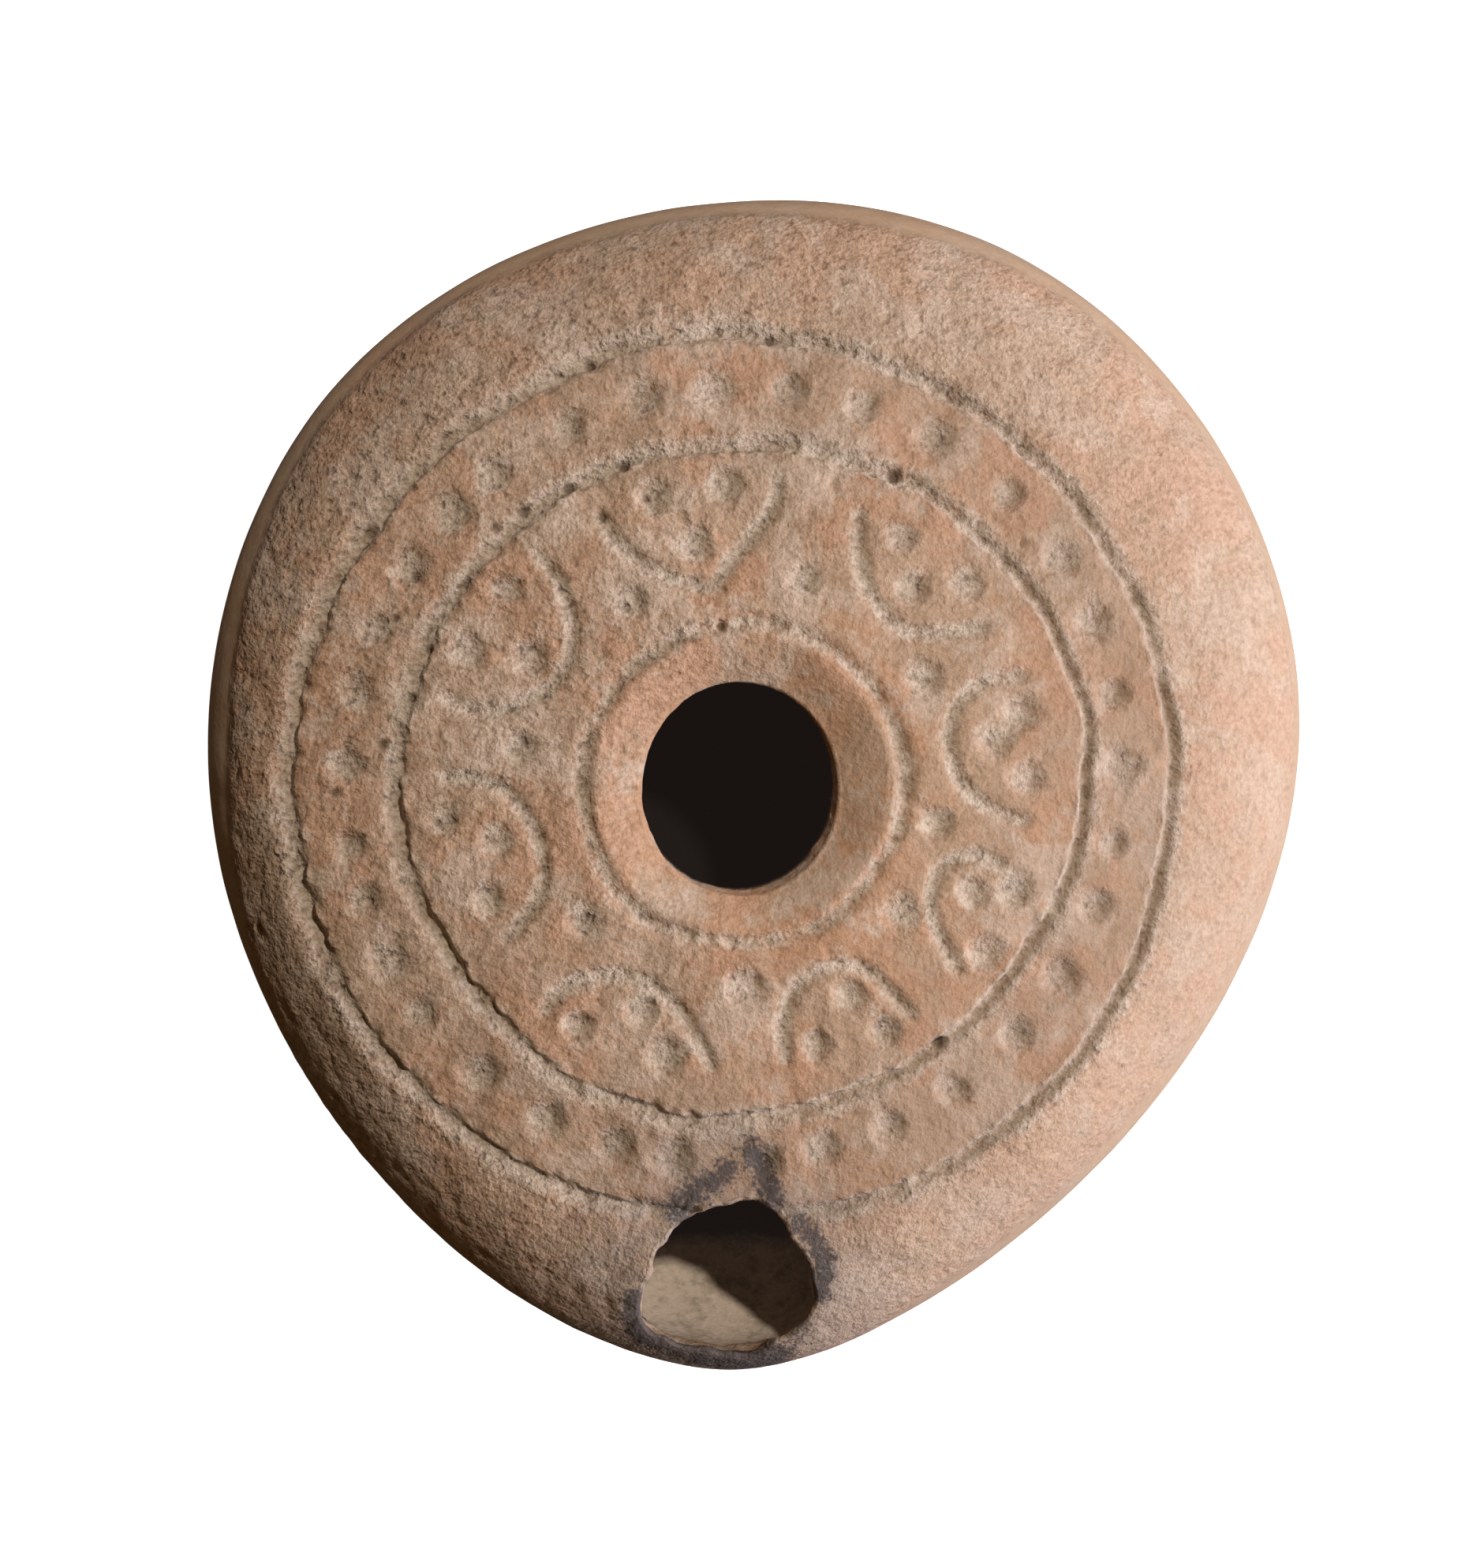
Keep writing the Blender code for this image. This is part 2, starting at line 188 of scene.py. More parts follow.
def shell_place(
    turns, levels, hole_line, disc_edge, line, widest, height_of, foot, foot_height
):
    """Points of a turned shell at directions from the disc's middle and at levels.

    Level 0 to 1 runs out across the top from the filling hole to the disc's edge. Level 1 to 2 is
    the shoulder, an ellipse from a slope of 20 degrees to upright at the widest line, and level
    2 to 3 the bowl, 72 degrees of an ellipse from there down to the foot's circle.
    """
    cos, sin = np.cos(turns), np.sin(turns)
    near = reach_from(DISC_CENTRE, hole_line, turns)
    far = reach_from(DISC_CENTRE, line, turns)
    across = near + (disc_edge - near) * np.clip(levels, 0.0, 1.0)
    angle = SHOULDER_START + (math.pi / 2 - SHOULDER_START) * np.clip(levels - 1.0, 0.0, 1.0)
    start = math.sin(SHOULDER_START)
    down = across + (far - disc_edge) * (np.sin(angle) - start) / (1.0 - start)
    x = DISC_CENTRE[0] + down * cos
    y = DISC_CENTRE[1] + down * sin
    rim_height = height_of(DISC_CENTRE[0] + disc_edge * cos, DISC_CENTRE[1] + disc_edge * sin)
    drop = (rim_height - widest) * np.cos(angle) / math.cos(SHOULDER_START)
    z = np.where(levels <= 1.0, height_of(x, y), widest + drop)
    sweep = BOWL_SWEEP * np.clip(levels - 2.0, 0.0, 1.0)
    inward = (1.0 - np.cos(sweep)) / (1.0 - math.cos(BOWL_SWEEP))
    foot_x, foot_y = FOOT_CENTRE[0] + foot * cos, FOOT_CENTRE[1] + foot * sin
    x = x + (foot_x - x) * inward
    y = y + (foot_y - y) * inward
    z = z + (foot_height - widest) * np.sin(sweep) / math.sin(BOWL_SWEEP) * (levels > 2.0)
    return np.stack([x, y, z], axis=-1)


def skin_place(turns, levels):
    """The lamp's bare outer skin: the shell from the hole's rim to the foot."""
    return shell_place(
        turns, levels, HOLE_LINE, DISC_EDGE, OUTER_LINE, WIDEST_HEIGHT, dome_height,
        FOOT_RADIUS, FOOT_HEIGHT,
    )


def chamber_place(turns, levels):
    """The oil chamber's bare inner face: the shell drawn in by the walls."""
    return shell_place(
        turns, levels, HOLE_LINE, CHAMBER_EDGE, INNER_LINE, WIDEST_HEIGHT + CHAMBER_LIFT,
        roof_height, CHAMBER_FOOT, FLOOR_HEIGHT,
    )


def level_at(turns, reach, disc_edge, hole_line, line):
    """Level of a point of the top or shoulder from its plan distance to the disc's middle: the
    inverse of the across and shoulder steps of shell_place, held to the widest line."""
    near = reach_from(DISC_CENTRE, hole_line, turns)
    far = reach_from(DISC_CENTRE, line, turns)
    start = math.sin(SHOULDER_START)
    share = np.clip((reach - disc_edge) / (far - disc_edge), 0.0, 1.0)
    angle = np.arcsin(start + share * (1.0 - start))
    shoulder = 1.0 + (angle - SHOULDER_START) / (math.pi / 2 - SHOULDER_START)
    return np.where(reach <= disc_edge, (reach - near) / (disc_edge - near), shoulder)


def facing(place, turns, levels):
    """Unit normals of a shell: the cross product of its steps in level and in turn."""
    low = np.clip(levels - NORMAL_STEP, 0.0, 3.0)
    high = np.clip(levels + NORMAL_STEP, 0.0, 3.0)
    along = place(turns, high) - place(turns, low)
    around = place(turns + NORMAL_STEP, levels) - place(turns - NORMAL_STEP, levels)
    normal = np.cross(along, around)
    return normal / np.linalg.norm(normal, axis=-1, keepdims=True)


# Lamp body, hand work: three rings, eight arches and their dots were drawn and punched into the
# leather-hard top with a blunt point, so the marks are uneven, and the clay is worn and pitted.

INNER_GROOVE_CENTRE = np.array([-1.1, -2.6])
INNER_GROOVE_RADIUS = 24.4
INNER_GROOVE_WAVES = ((2, 0.3, 24), (3, 0.2, 11), (4, 0.13, -7), (6, 0.14, 12))
OUTER_GROOVE_WAVES = ((3, 0.12, 80), (5, 0.1, 20), (9, 0.07, 50))
RING_WAVES = ((2, 0.12, 30), (3, 0.1, 100), (5, 0.06, 10))
# Widths of a groove's two sides, each on the rough left and then on the smoother right
GROOVE_INNER_SIDES = (0.7, 0.6)
GROOVE_OUTER_SIDES = (1.6, 0.7)
GROOVE_DEPTH = 0.64
# Reach of the earth over a groove's inner and outer side
GROOVE_PALE = (0.8, 1.8)
GROOVE_JOIN = 61.0
GROOVE_MISS = 0.45
# Share of their depth that the grooves lack on the smoother right
GROOVE_LIT_LESS = 0.2
RING_DEPTH = 0.48
RING_SIDE = 1.0
# Unevenness of the hand, each a share or height, a wavelength and a seed
WOBBLE = ((0.1, 7.0, 1),)
PRESSURE = ((0.18, 9.0, 2), (0.14, 2.0, 12))
PRESSURE_LIMITS = (0.5, 1.4)
SIDE_UNEVEN = ((0.12, 2.4, 8), (0.22, 1.1, 9))

PUNCH_DIRECTIONS = (
    1.9, 12.8, 24.1, 34.5, 46.7, 60.3, 71.8, 83.1, 93.8, 104.3, 116, 129.1, 137.4, 147.3, 157.6,
    167.2, 177.8, 189.7, 198, 207.5, 216.4, 228.8, 240.6, 251, 260.1, 273.9, 282.4, 293.2, 304.5,
    317.4, 328.4, 340.4, 350.2,
)
PUNCH_REACH = 28.02
PUNCH_REACH_WAVES = ((1, 0.59, 149), (2, 0.32, 47))
PUNCH_RADIUS = 1.65
PUNCH_DEPTH = 0.72
DOT_RADIUS = 1.6
DOT_DEPTH = 0.68

# Points that each arch was drawn through; the one at the back is two straight strokes
ARCH_STROKES = (
    ((19.0, 4.8), (16.9, 4.5), (15.2, 3.4), (14.3, 1.8), (14.0, -0.2), (14.5, -2.2), (15.8, -3.9),
     (17.5, -5.0), (19.3, -5.6)),
    ((7.5, 16.4), (7.4, 14.2), (7.8, 12.2), (8.6, 10.4), (9.7, 8.8), (11.1, 8.0), (13.2, 7.8),
     (15.2, 8.0), (16.4, 8.2)),
    ((-11.1, 16.1), (-9.8, 14.4), (-8.4, 13.1), (-6.4, 12.0), (-4.4, 11.4), (-2.7, 11.2)),
    ((1.7, 18.9), (1.2, 17.1), (0.1, 15.3), (-1.2, 13.6), (-3.0, 11.3)),
    ((-15.5, 13.5), (-14.2, 11.7), (-13.2, 8.8), (-13.4, 6.4), (-14.3, 4.6), (-16.1, 3.2),
     (-18.4, 2.3), (-20.6, 2.5), (-22.1, 3.1)),
    ((-22.3, -2.4), (-20.2, -2.6), (-18.4, -3.2), (-16.9, -4.6), (-15.8, -6.5), (-15.2, -8.6),
     (-15.5, -10.7), (-16.6, -12.5), (-17.8, -14.1)),
    ((-15.1, -19.1), (-13.8, -17.7), (-11.7, -16.9), (-9.4, -16.9), (-7.4, -17.5), (-5.7, -19.0),
     (-4.3, -21.0), (-3.2, -23.1)),
    ((2.2, -22.7), (2.0, -20.4), (2.7, -18.4), (4.2, -16.6), (6.2, -15.9), (8.2, -16.5),
     (9.7, -17.9), (11.1, -19.4)),
    ((14.6, -16.2), (13.7, -14.6), (12.9, -12.7), (12.7, -10.9), (13.3, -9.3), (14.6, -8.3),
     (16.1, -8.1), (17.5, -8.6)),
)
# Direction and distance of each arch's three dots, then of the dots that stand alone
ARCH_DOTS = (
    (0, 20.8), (9, 18.7), (13, 20.7), (41, 21.6), (48, 18.5), (56, 21.0), (93, 21.2), (101, 17.2),
    (107, 21.3), (141, 21.6), (150, 17.4), (155, 21.6), (188, 21.5), (194, 18.0), (206, 20.1),
    (237, 21.3), (247, 18.0), (255, 20.6), (286, 20.1), (297, 17.5), (300, 21.0), (325, 21.6),
    (334, 18.7), (338, 21.3),
)
LONE_DOTS = (
    (121.9, 14.9), (72, 15.0), (29.3, 15.1), (347.1, 14.5), (320.6, 15.2), (271.5, 15.0),
    (222.5, 15.1), (171.9, 16.1),
)
STROKE_SIDE = 0.95
STROKE_DEPTH = 0.45
STROKE_WANDER = 0.6
LINE_REACH = 3.0
# The small boss that the blunt point left in a punched mark: its place, spread and height share
BOSS_OFF = (-0.15, 0.1)
BOSS_SPREAD = 0.12
BOSS_SHARE = 0.5
PUNCH_UNEVEN = ((0.07, 1.7, 43),)
PUNCH_VARIES = (0.85, 1.15)

WICK_CENTRE = np.array([-2.2, -39.3])
WICK_RADIUS = 5.84
WICK_WAVES = (
    (1, 0.39, 43), (2, 0.43, 19), (3, 0.36, -33), (5, 0.24, -8), (8, 0.09, 20), (13, 0.06, 100),
    (21, 0.04, 10),
)
LIP_RADIUS = 0.38

# Wiped band inside the widest line: direction and how wide it looks from above
BAND_WIDTHS = (
    (0, 0.7), (30, 0.8), (45, 1.1), (60, 1.45), (75, 1.75), (95, 1.3), (130, 1.45), (150, 1.75),
    (170, 2.15), (183, 1.9), (195, 1.1), (207, 0.4), (220, 0.0), (280, 0.0), (292, 0.8),
    (315, 1.05), (345, 0.95),
)
BAND_STEP = 0.09
BAND_EDGE = (-0.3, 0.5)
BAND_UNEVEN = ((0.04, 5.0, 21),)
# Soot that the flame left: points of each smear, its half width and its strength
SOOT_SMEARS = (
    (((-5.6, -33.8), (-4.1, -32.4), (-1.8, -30.8)), 1.0, 1.15),
    (((-0.3, -29.4), (0.7, -31.3), (1.4, -32.9)), 0.95, 1.25),
    (((3.5, -34.9), (5.0, -37.2), (4.8, -40.0)), 0.85, 1.3),
    (
        ((-8.6, -40.6), (-8.2, -42.8), (-6.1, -43.7), (-3.2, -44.6), (0.2, -45.1), (1.9, -44.6)),
        1.05, 1.4,
    ),
    (((2.8, -43.7), (4.0, -42.5)), 0.6, 0.7),
)
SOOT_FADE = (0.1, 1.8)
SMOKE_REACH = 9.0


def ripple(points, length, seed, count=28):
    """Even noise of about unit spread: cosines along random directions, each with a wavelength
    near the given one and a random phase, added and divided by the root of half their count."""
    random = np.random.default_rng(seed)
    ways = random.normal(size=(count, 3))
    ways /= np.linalg.norm(ways, axis=1, keepdims=True)
    ways *= FULL_TURN / (length * random.uniform(0.7, 1.4, (count, 1)))
    phases = random.uniform(0.0, FULL_TURN, count)
    total = sum(np.cos(points @ way + phase) for way, phase in zip(ways, phases))
    return total / math.sqrt(count / 2.0)


def uneven(points, terms, count=28):
    """Sum of ripples, each given as (height, wavelength, seed)."""
    return sum(height * ripple(points, length, seed, count) for height, length, seed in terms)


def ease(value, low, high):
    """Smooth step 3t^2 - 2t^3 of a value's way from low to high."""
    t = np.clip((value - low) / (high - low), 0.0, 1.0)
    return t * t * (3.0 - 2.0 * t)


def trough(out, inner_side, outer_side):
    """Cross-section of a drawn groove, 1 at its bottom line: half a cosine wave on each side,
    with the inner side steeper than the outer where their widths say so."""
    side = np.where(out < 0.0, inner_side, outer_side)
    return 0.5 + 0.5 * np.cos(math.pi * np.clip(np.abs(out) / side, 0.0, 1.0))


def off_ring(x, y, centre, radius, terms):
    """Distance outwards from a wavy circle: distance from its centre less radius and waves."""
    bearing = np.arctan2(y - centre[1], x - centre[0])
    return np.hypot(x - centre[0], y - centre[1]) - radius - waves(bearing, terms)


def heading(direction):
    """Unit plan vector of a direction in degrees."""
    return np.array([math.cos(math.radians(direction)), math.sin(math.radians(direction))])


def smooth_line(points, steps=6):
    """Points of a cubic Hermite curve through the given ones, with tangents from neighbours: each
    span is the four Hermite weights of its ends and tangents."""
    knots = np.array(points)
    slopes = np.gradient(knots, axis=0)
    t = np.linspace(0.0, 1.0, steps, endpoint=False)[:, None, None]
    start, end = knots[:-1], knots[1:]
    curve = start * (2 * t**3 - 3 * t**2 + 1) + end * (3 * t**2 - 2 * t**3)
    curve = curve + slopes[:-1] * (t**3 - 2 * t**2 + t) + slopes[1:] * (t**3 - t**2)
    return np.concatenate([curve.swapaxes(0, 1).reshape(-1, 2), knots[-1:]])


def off_line(x, y, points):
    """Distance in plan from a drawn line, held to its reach: the least over the line's short
    pieces of the distance to the nearest point of each."""
    line = smooth_line(points)
    off = np.full(x.shape, LINE_REACH)
    low, high = line.min(axis=0) - LINE_REACH, line.max(axis=0) + LINE_REACH
    near = np.flatnonzero((x > low[0]) & (x < high[0]) & (y > low[1]) & (y < high[1]))
    place = np.stack([x[near], y[near]], axis=-1)
    best = off[near]
    for start, end in zip(line[:-1], line[1:]):
        along = end - start
        share = np.clip((place - start) @ along / (along @ along), 0.0, 1.0)
        best = np.minimum(best, np.hypot(*(place - start - share[:, None] * along).T))
    off[near] = best
    return off


def punch_marks():
    """Places, radii and depths of all punched marks: the row, the arches' dots, the lone dots."""
    random = np.random.default_rng(41)
    row = np.array(PUNCH_DIRECTIONS)
    reach = PUNCH_REACH + waves(np.radians(row), PUNCH_REACH_WAVES)
    places = [INNER_GROOVE_CENTRE + r * heading(d) for d, r in zip(row, reach)]
    sizes = [(PUNCH_RADIUS, PUNCH_DEPTH)] * len(places)
    dots = ARCH_DOTS + LONE_DOTS
    places += [INNER_GROOVE_CENTRE + distance * heading(turned) for turned, distance in dots]
    sizes += [(DOT_RADIUS, DOT_DEPTH)] * len(dots)
    vary = random.uniform(*PUNCH_VARIES, (len(places), 2))
    boss = random.uniform(0.0, 1.0, len(places))
    return np.array(places), np.array(sizes) * vary, boss


def stamped(x, y):
    """Depth of the punched marks: a round bowl (1 - d^2)^1.5 for each, where the blunt point left
    a small boss off its middle, and their share of the surface's recess."""
    depth, recess = np.zeros_like(x), np.zeros_like(x)
    hand = 1.0 + uneven(np.stack([x, y, 0.0 * x], axis=-1), PUNCH_UNEVEN)
    for (px, py), (radius, deep), boss in zip(*punch_marks()):
        d = np.hypot(x - px, y - py) / radius * hand
        bowl = np.clip(1.0 - d * d, 0.0, 1.0) ** 1.5
        from_boss = (x - px - BOSS_OFF[0]) ** 2 + (y - py - BOSS_OFF[1]) ** 2
        depth += deep * (bowl - BOSS_SHARE * boss * np.exp(-from_boss / BOSS_SPREAD))
        recess = np.maximum(recess, 0.95 - 0.95 * ease(d, 0.2, 1.35))
    return depth, recess


# Larger pits: plan place, radius and depth, and one grain that stands proud
PITS = (
    (-11.9, 27.4, 0.45, 0.5), (1.1, 29.2, 0.4, 0.5), (-13.4, 18.4, 0.5, 0.5),
    (-9.4, 19.9, 0.4, 0.5), (-16.7, 16.7, 0.45, 0.4), (-18.7, 15.5, 0.4, 0.4),
    (10.1, 19.3, 0.6, 0.45), (13.3, -21.6, 0.55, 0.5), (-24.5, 11.9, 0.4, 0.5),
    (-27.9, 15.3, 0.45, 0.45), (-26.8, -0.1, 0.4, 0.5), (-25.9, 9.0, 0.35, 0.4),
    (-30.3, -3.6, 0.35, 0.35), (-24.7, 3.2, 0.35, 0.4), (-23.5, 6.7, 0.35, 0.35),
    (-30.9, 8.2, 0.35, 0.35), (-32.3, 4.2, 0.35, 0.35), (-2.4, 8.4, 0.35, 0.4),
    (-10.9, 16.3, 0.35, 0.35), (-7.8, 17.7, 0.3, 0.35), (30.0, 3.9, 0.5, -0.25),
)
# Added to the radius of each pit above, and the factor of its depth
PIT_MARGIN = 0.1
PIT_DEEPER = 1.3
RANDOM_PITS = 1300
RANDOM_PIT_RADII = (0.32, 0.65)
RANDOM_PIT_DEPTHS = (0.1, 0.3)
RANDOM_PIT_NORMAL = 0.5
RANDOM_PIT_SPREAD = 2.6
# Direction in degrees of the smoother side; the clay is roughest opposite to it
ROUGH_AWAY_FROM = -20.0
# Wear of the top round the filling hole and of the side round the widest line
CROWN_WEAR = 0.3
BELLY_WEAR = 0.26
# Levels between which the top's marks end, the shoulder starts and the relief dies down
TOP_ENDS = (1.3, 1.6)
SHOULDER_STARTS = (0.95, 1.1)
NEAR_WIDEST = (1.7, 1.95)
SLOW_WAVES = ((0.07, 11.0, 3), (0.05, 4.5, 4))
COARSE_GRAIN = ((0.04, 1.9, 5),)
FINE_GRAIN = ((0.04, 1.05, 6),)
GRAIN_COUNT = 60
FINGER_HOLLOWS = ((0.12, 6.0, 31), (0.03, 1.5, 32))


def pecked(points):
    """Depth of the larger pits, bowls (1 - d^2)^2 at the named places, and the painted shade that
    darkens each point in them."""
    depth, dark = np.zeros(len(points)), np.zeros(len(points))
    for px, py, radius, deep in PITS:
        d2 = (points[:, 0] - px) ** 2 + (points[:, 1] - py) ** 2
        bowl = np.clip(1.0 - d2 / (radius + PIT_MARGIN) ** 2, 0.0, 1.0)
        depth += PIT_DEEPER * deep * bowl**2
        dark = np.maximum(dark, bowl * (deep > 0.0))
    return depth, dark


def pitted(points):
    """Depth of the small pits: bowls (1 - d^2)^2 at random places of the top and shoulder."""
    depth = np.zeros(len(points))
    random = np.random.default_rng(7)
    turns = random.uniform(0.0, FULL_TURN, RANDOM_PITS)
    heights = np.sqrt(random.uniform(0.0, RANDOM_PIT_SPREAD, RANDOM_PITS))
    centres = skin_place(turns, heights)
    radii = random.uniform(*RANDOM_PIT_RADII, RANDOM_PITS)
    deeps = random.uniform(*RANDOM_PIT_DEPTHS, RANDOM_PITS) * radii / RANDOM_PIT_NORMAL
    for centre, radius, deep in zip(centres, radii, deeps):
        near = np.flatnonzero(np.abs(points[:, 0] - centre[0]) < radius)
        d2 = ((points[near] - centre) ** 2).sum(axis=1) / radius**2
        depth[near] += deep * np.clip(1.0 - d2, 0.0, 1.0) ** 2
    return depth


def band_share(turns, levels, points):
    """How far a point lies in the wiped band: its distance in plan inside the widest line, set
    against the band's width in that direction; 1 at the line and over the bowl's upper part."""
    widths = np.array(BAND_WIDTHS, float)
    width = np.interp(np.degrees(turns) % 360.0, widths[:, 0], widths[:, 1], period=360.0)
    width = width + uneven(points, BAND_UNEVEN)
    reach = np.hypot(points[:, 0] - DISC_CENTRE[0], points[:, 1] - DISC_CENTRE[1])
    inside = reach_from(DISC_CENTRE, OUTER_LINE, turns) - reach
    shoulder = 1.0 - ease(inside, width + BAND_EDGE[0], width + BAND_EDGE[1])
    shoulder = shoulder * ease(width, 0.1, 0.5)
    return np.where(levels < 2.0, shoulder, 1.0 - ease(levels, 2.03, 2.17))


def groove_offsets(points):
    """Distance outwards from each drawn groove's line, with the wobble of the hand. The inner
    groove was drawn in one go and its ends miss each other: its radius grows by the miss over one
    turn from the join."""
    x, y = points[:, 0], points[:, 1]
    wobble = uneven(points, WOBBLE)
    outer = off_ring(x, y, DISC_CENTRE, GROOVE_RADIUS, OUTER_GROOVE_WAVES) + wobble
    inner = off_ring(x, y, INNER_GROOVE_CENTRE, INNER_GROOVE_RADIUS, INNER_GROOVE_WAVES) + wobble
    bearing = np.degrees(np.arctan2(y - INNER_GROOVE_CENTRE[1], x - INNER_GROOVE_CENTRE[0]))
    way = ((bearing - GROOVE_JOIN) % 360.0) / 360.0
    inner = inner - GROOVE_MISS * (way - 0.5)
    ring = off_ring(x, y, RING_CENTRE, RING_RADIUS, RING_WAVES) + wobble
    return outer, inner, ring, wobble


def drawn_marks(points, lit_side):
    """Depth of everything drawn and punched, and how far each point lies in a recess.

    The depth is the deepest cut at a point plus a fifth of the shallower where a punched bowl
    and a drawn line meet. The recess is the widest reach of the earth that lies in any of them.
    """
    x, y = points[:, 0], points[:, 1]
    outer, inner, ring, wobble = groove_offsets(points)
    pressure = np.clip(1.0 + uneven(points, PRESSURE), *PRESSURE_LIMITS)
    near, far = GROOVE_INNER_SIDES, GROOVE_OUTER_SIDES
    inner_side = near[0] + (near[1] - near[0]) * lit_side
    outer_side = far[0] + (far[1] - far[0]) * lit_side
    inner_side = inner_side * (1.0 + uneven(points, SIDE_UNEVEN))
    outer_cut = trough(outer, inner_side, outer_side) * pressure
    inner_cut = trough(inner, inner_side, outer_side) * pressure
    ring_cut = trough(ring, RING_SIDE, RING_SIDE) * pressure
    arch_cut = np.zeros(len(points))
    for drawn_line in ARCH_STROKES:
        off = off_line(x + STROKE_WANDER * wobble, y - STROKE_WANDER * wobble, drawn_line)
        arch_cut = np.maximum(arch_cut, trough(off, STROKE_SIDE, STROKE_SIDE))
    marks, mark_recess = stamped(x, y)
    drawn = np.maximum(outer_cut, inner_cut) * GROOVE_DEPTH * (1.0 - GROOVE_LIT_LESS * lit_side)
    drawn = np.maximum(drawn, np.maximum(ring_cut * RING_DEPTH, arch_cut * STROKE_DEPTH))
    pale = np.maximum(trough(outer, *GROOVE_PALE), trough(inner, *GROOVE_PALE)) ** 0.7
    recess = np.maximum.reduce(
        [pale, 0.8 * ring_cut**0.7, 0.95 * arch_cut**0.6, mark_recess]
    )
    return np.maximum(drawn, marks) + 0.2 * np.minimum(drawn, marks), recess


def sooted(points, levels):
    """Soot of the smears on the top, each fading with the distance from its line, and the thin
    smoke round the wick hole, fading with the distance from the hole."""
    x, y = points[:, 0], points[:, 1]
    soot = np.zeros(len(points))
    for smear, width, strength in SOOT_SMEARS:
        off = off_line(x, y, smear)
        soot = np.maximum(soot, strength * (1.0 - ease(off / width, *SOOT_FADE)))
    from_wick = np.hypot(x - WICK_CENTRE[0], y - WICK_CENTRE[1]) - WICK_RADIUS
    return soot * (levels < 2.0), 1.0 - ease(from_wick, 0.0, SMOKE_REACH)


def worn_skin(turns, levels):
    """The outer skin with all its marks, and what each point's surface is like.

    Each point moves along its normal by the sum of: slow hollows and swellings, the drawn grooves,
    the arches' strokes, the punched bowls, the pits, and a grain that is coarse above the wiped
    band and nearly gone in it.
    """
    points = skin_place(turns, levels)
    normals = facing(skin_place, turns, levels)
    on_top = 1.0 - ease(levels, *TOP_ENDS)
    on_shoulder = ease(levels, *SHOULDER_STARTS)
    to_widest = ease(levels, *NEAR_WIDEST)
    lit_side = 0.5 + 0.5 * np.cos(turns - math.radians(ROUGH_AWAY_FROM))
    cut, recess = drawn_marks(points, lit_side)
    wiped = band_share(turns, levels, points)
    rough = 0.12 + 0.15 * on_shoulder + (0.4 + 0.25 * on_shoulder) * (1.0 - lit_side)
    rough = rough * (1.0 - wiped)
    slow = uneven(points, SLOW_WAVES)
    fine = uneven(points, FINE_GRAIN, GRAIN_COUNT) * (1.0 - 0.8 * on_shoulder)
    grain = uneven(points, COARSE_GRAIN, GRAIN_COUNT) + fine
    relief = slow * (1.0 - 0.85 * ease(levels, 1.3, 1.9))
    relief += grain * np.maximum(rough * 1.1, recess * 0.8) * (1.0 - 0.7 * to_widest)
    relief -= cut * on_top
    pecks, pit_painted_shade = pecked(points)
    relief -= pecks * on_top
    relief -= pitted(points) * (0.3 + 0.6 * rough) * (1.0 - wiped) * (1.0 - 0.7 * to_widest)
    relief -= BAND_STEP * wiped * (1.0 - ease(levels, 1.9, 2.0))
    relief *= 1.0 - ease(levels, 2.85, 3.0)
    relief -= CROWN_WEAR * (1.0 - ease(levels, 0.25, 0.6))
    relief -= BELLY_WEAR * ease(levels, 1.7, 2.0) * (1.0 - ease(levels, 2.0, 2.3))
    soot, smoke = sooted(points, levels)
    # Painted shade: the top is darkened towards brown on its right side, where the lights fall
    # hardest
    side_painted_shade = lit_side * ease(levels, 0.35, 0.85) * (1.0 - on_shoulder)
    # Besides real marks, the feel holds painted light: a painted sheen on the shoulder's right
    # side, and painted shade over the top's right side and in the larger pits
    feel = {
        "recess": recess * on_top, "wiped": wiped, "rough": rough, "soot": soot, "smoke": smoke,
        "side_painted_shade": side_painted_shade, "painted_sheen": on_shoulder * lit_side, "pecked": pit_painted_shade * on_top,
    }
    return points + normals * relief[:, None], feel


def chamber_face(turns, levels):
    """The chamber's inner face, each point moved along its normal by the low hollows that
    fingers left, which fade out towards the floor."""
    points = chamber_place(turns, levels)
    normals = facing(chamber_place, turns, levels)
    hollows = uneven(points, FINGER_HOLLOWS) * (1.0 - ease(levels, 2.8, 3.0))
    return points + normals * hollows[:, None]


# Lamp body, mesh: rings of points joined into one closed skin, from the foot up over the bowl,
# the shoulder and the top, down through both holes and round the inside of the chamber. A window
# of each shell round the wick hole is filled by rings that narrow down to the hole's torn edge.

COLUMNS = 600
FIELD_STEP = 0.31
# Rows of points across a groove, as distances outwards from its line
GROOVE_STATIONS = (
    -0.62, -0.5, -0.4, -0.31, -0.22, -0.13, -0.04, 0.08, 0.22, 0.4, 0.62, 0.9, 1.25, 1.6,
)
SHOULDER_ROWS = 30
BOWL_COLUMNS = 300
BOWL_ROWS = 22
CHAMBER_COLUMNS = 150
CHAMBER_ROWS = (10, 9, 9)
WINDOW_HALF = math.radians(14.4)
WINDOW_LEVEL = 0.86
WINDOW_RINGS = 9
INNER_WINDOW_HALF = math.radians(21.6)
INNER_WINDOW_LEVEL = 0.85
INNER_WINDOW_ROWS_BELOW = 2
INNER_WINDOW_SHARES = (0.34, 0.67, 1.0)
RIM_STEPS = 5
DOWN = math.radians(270.0)
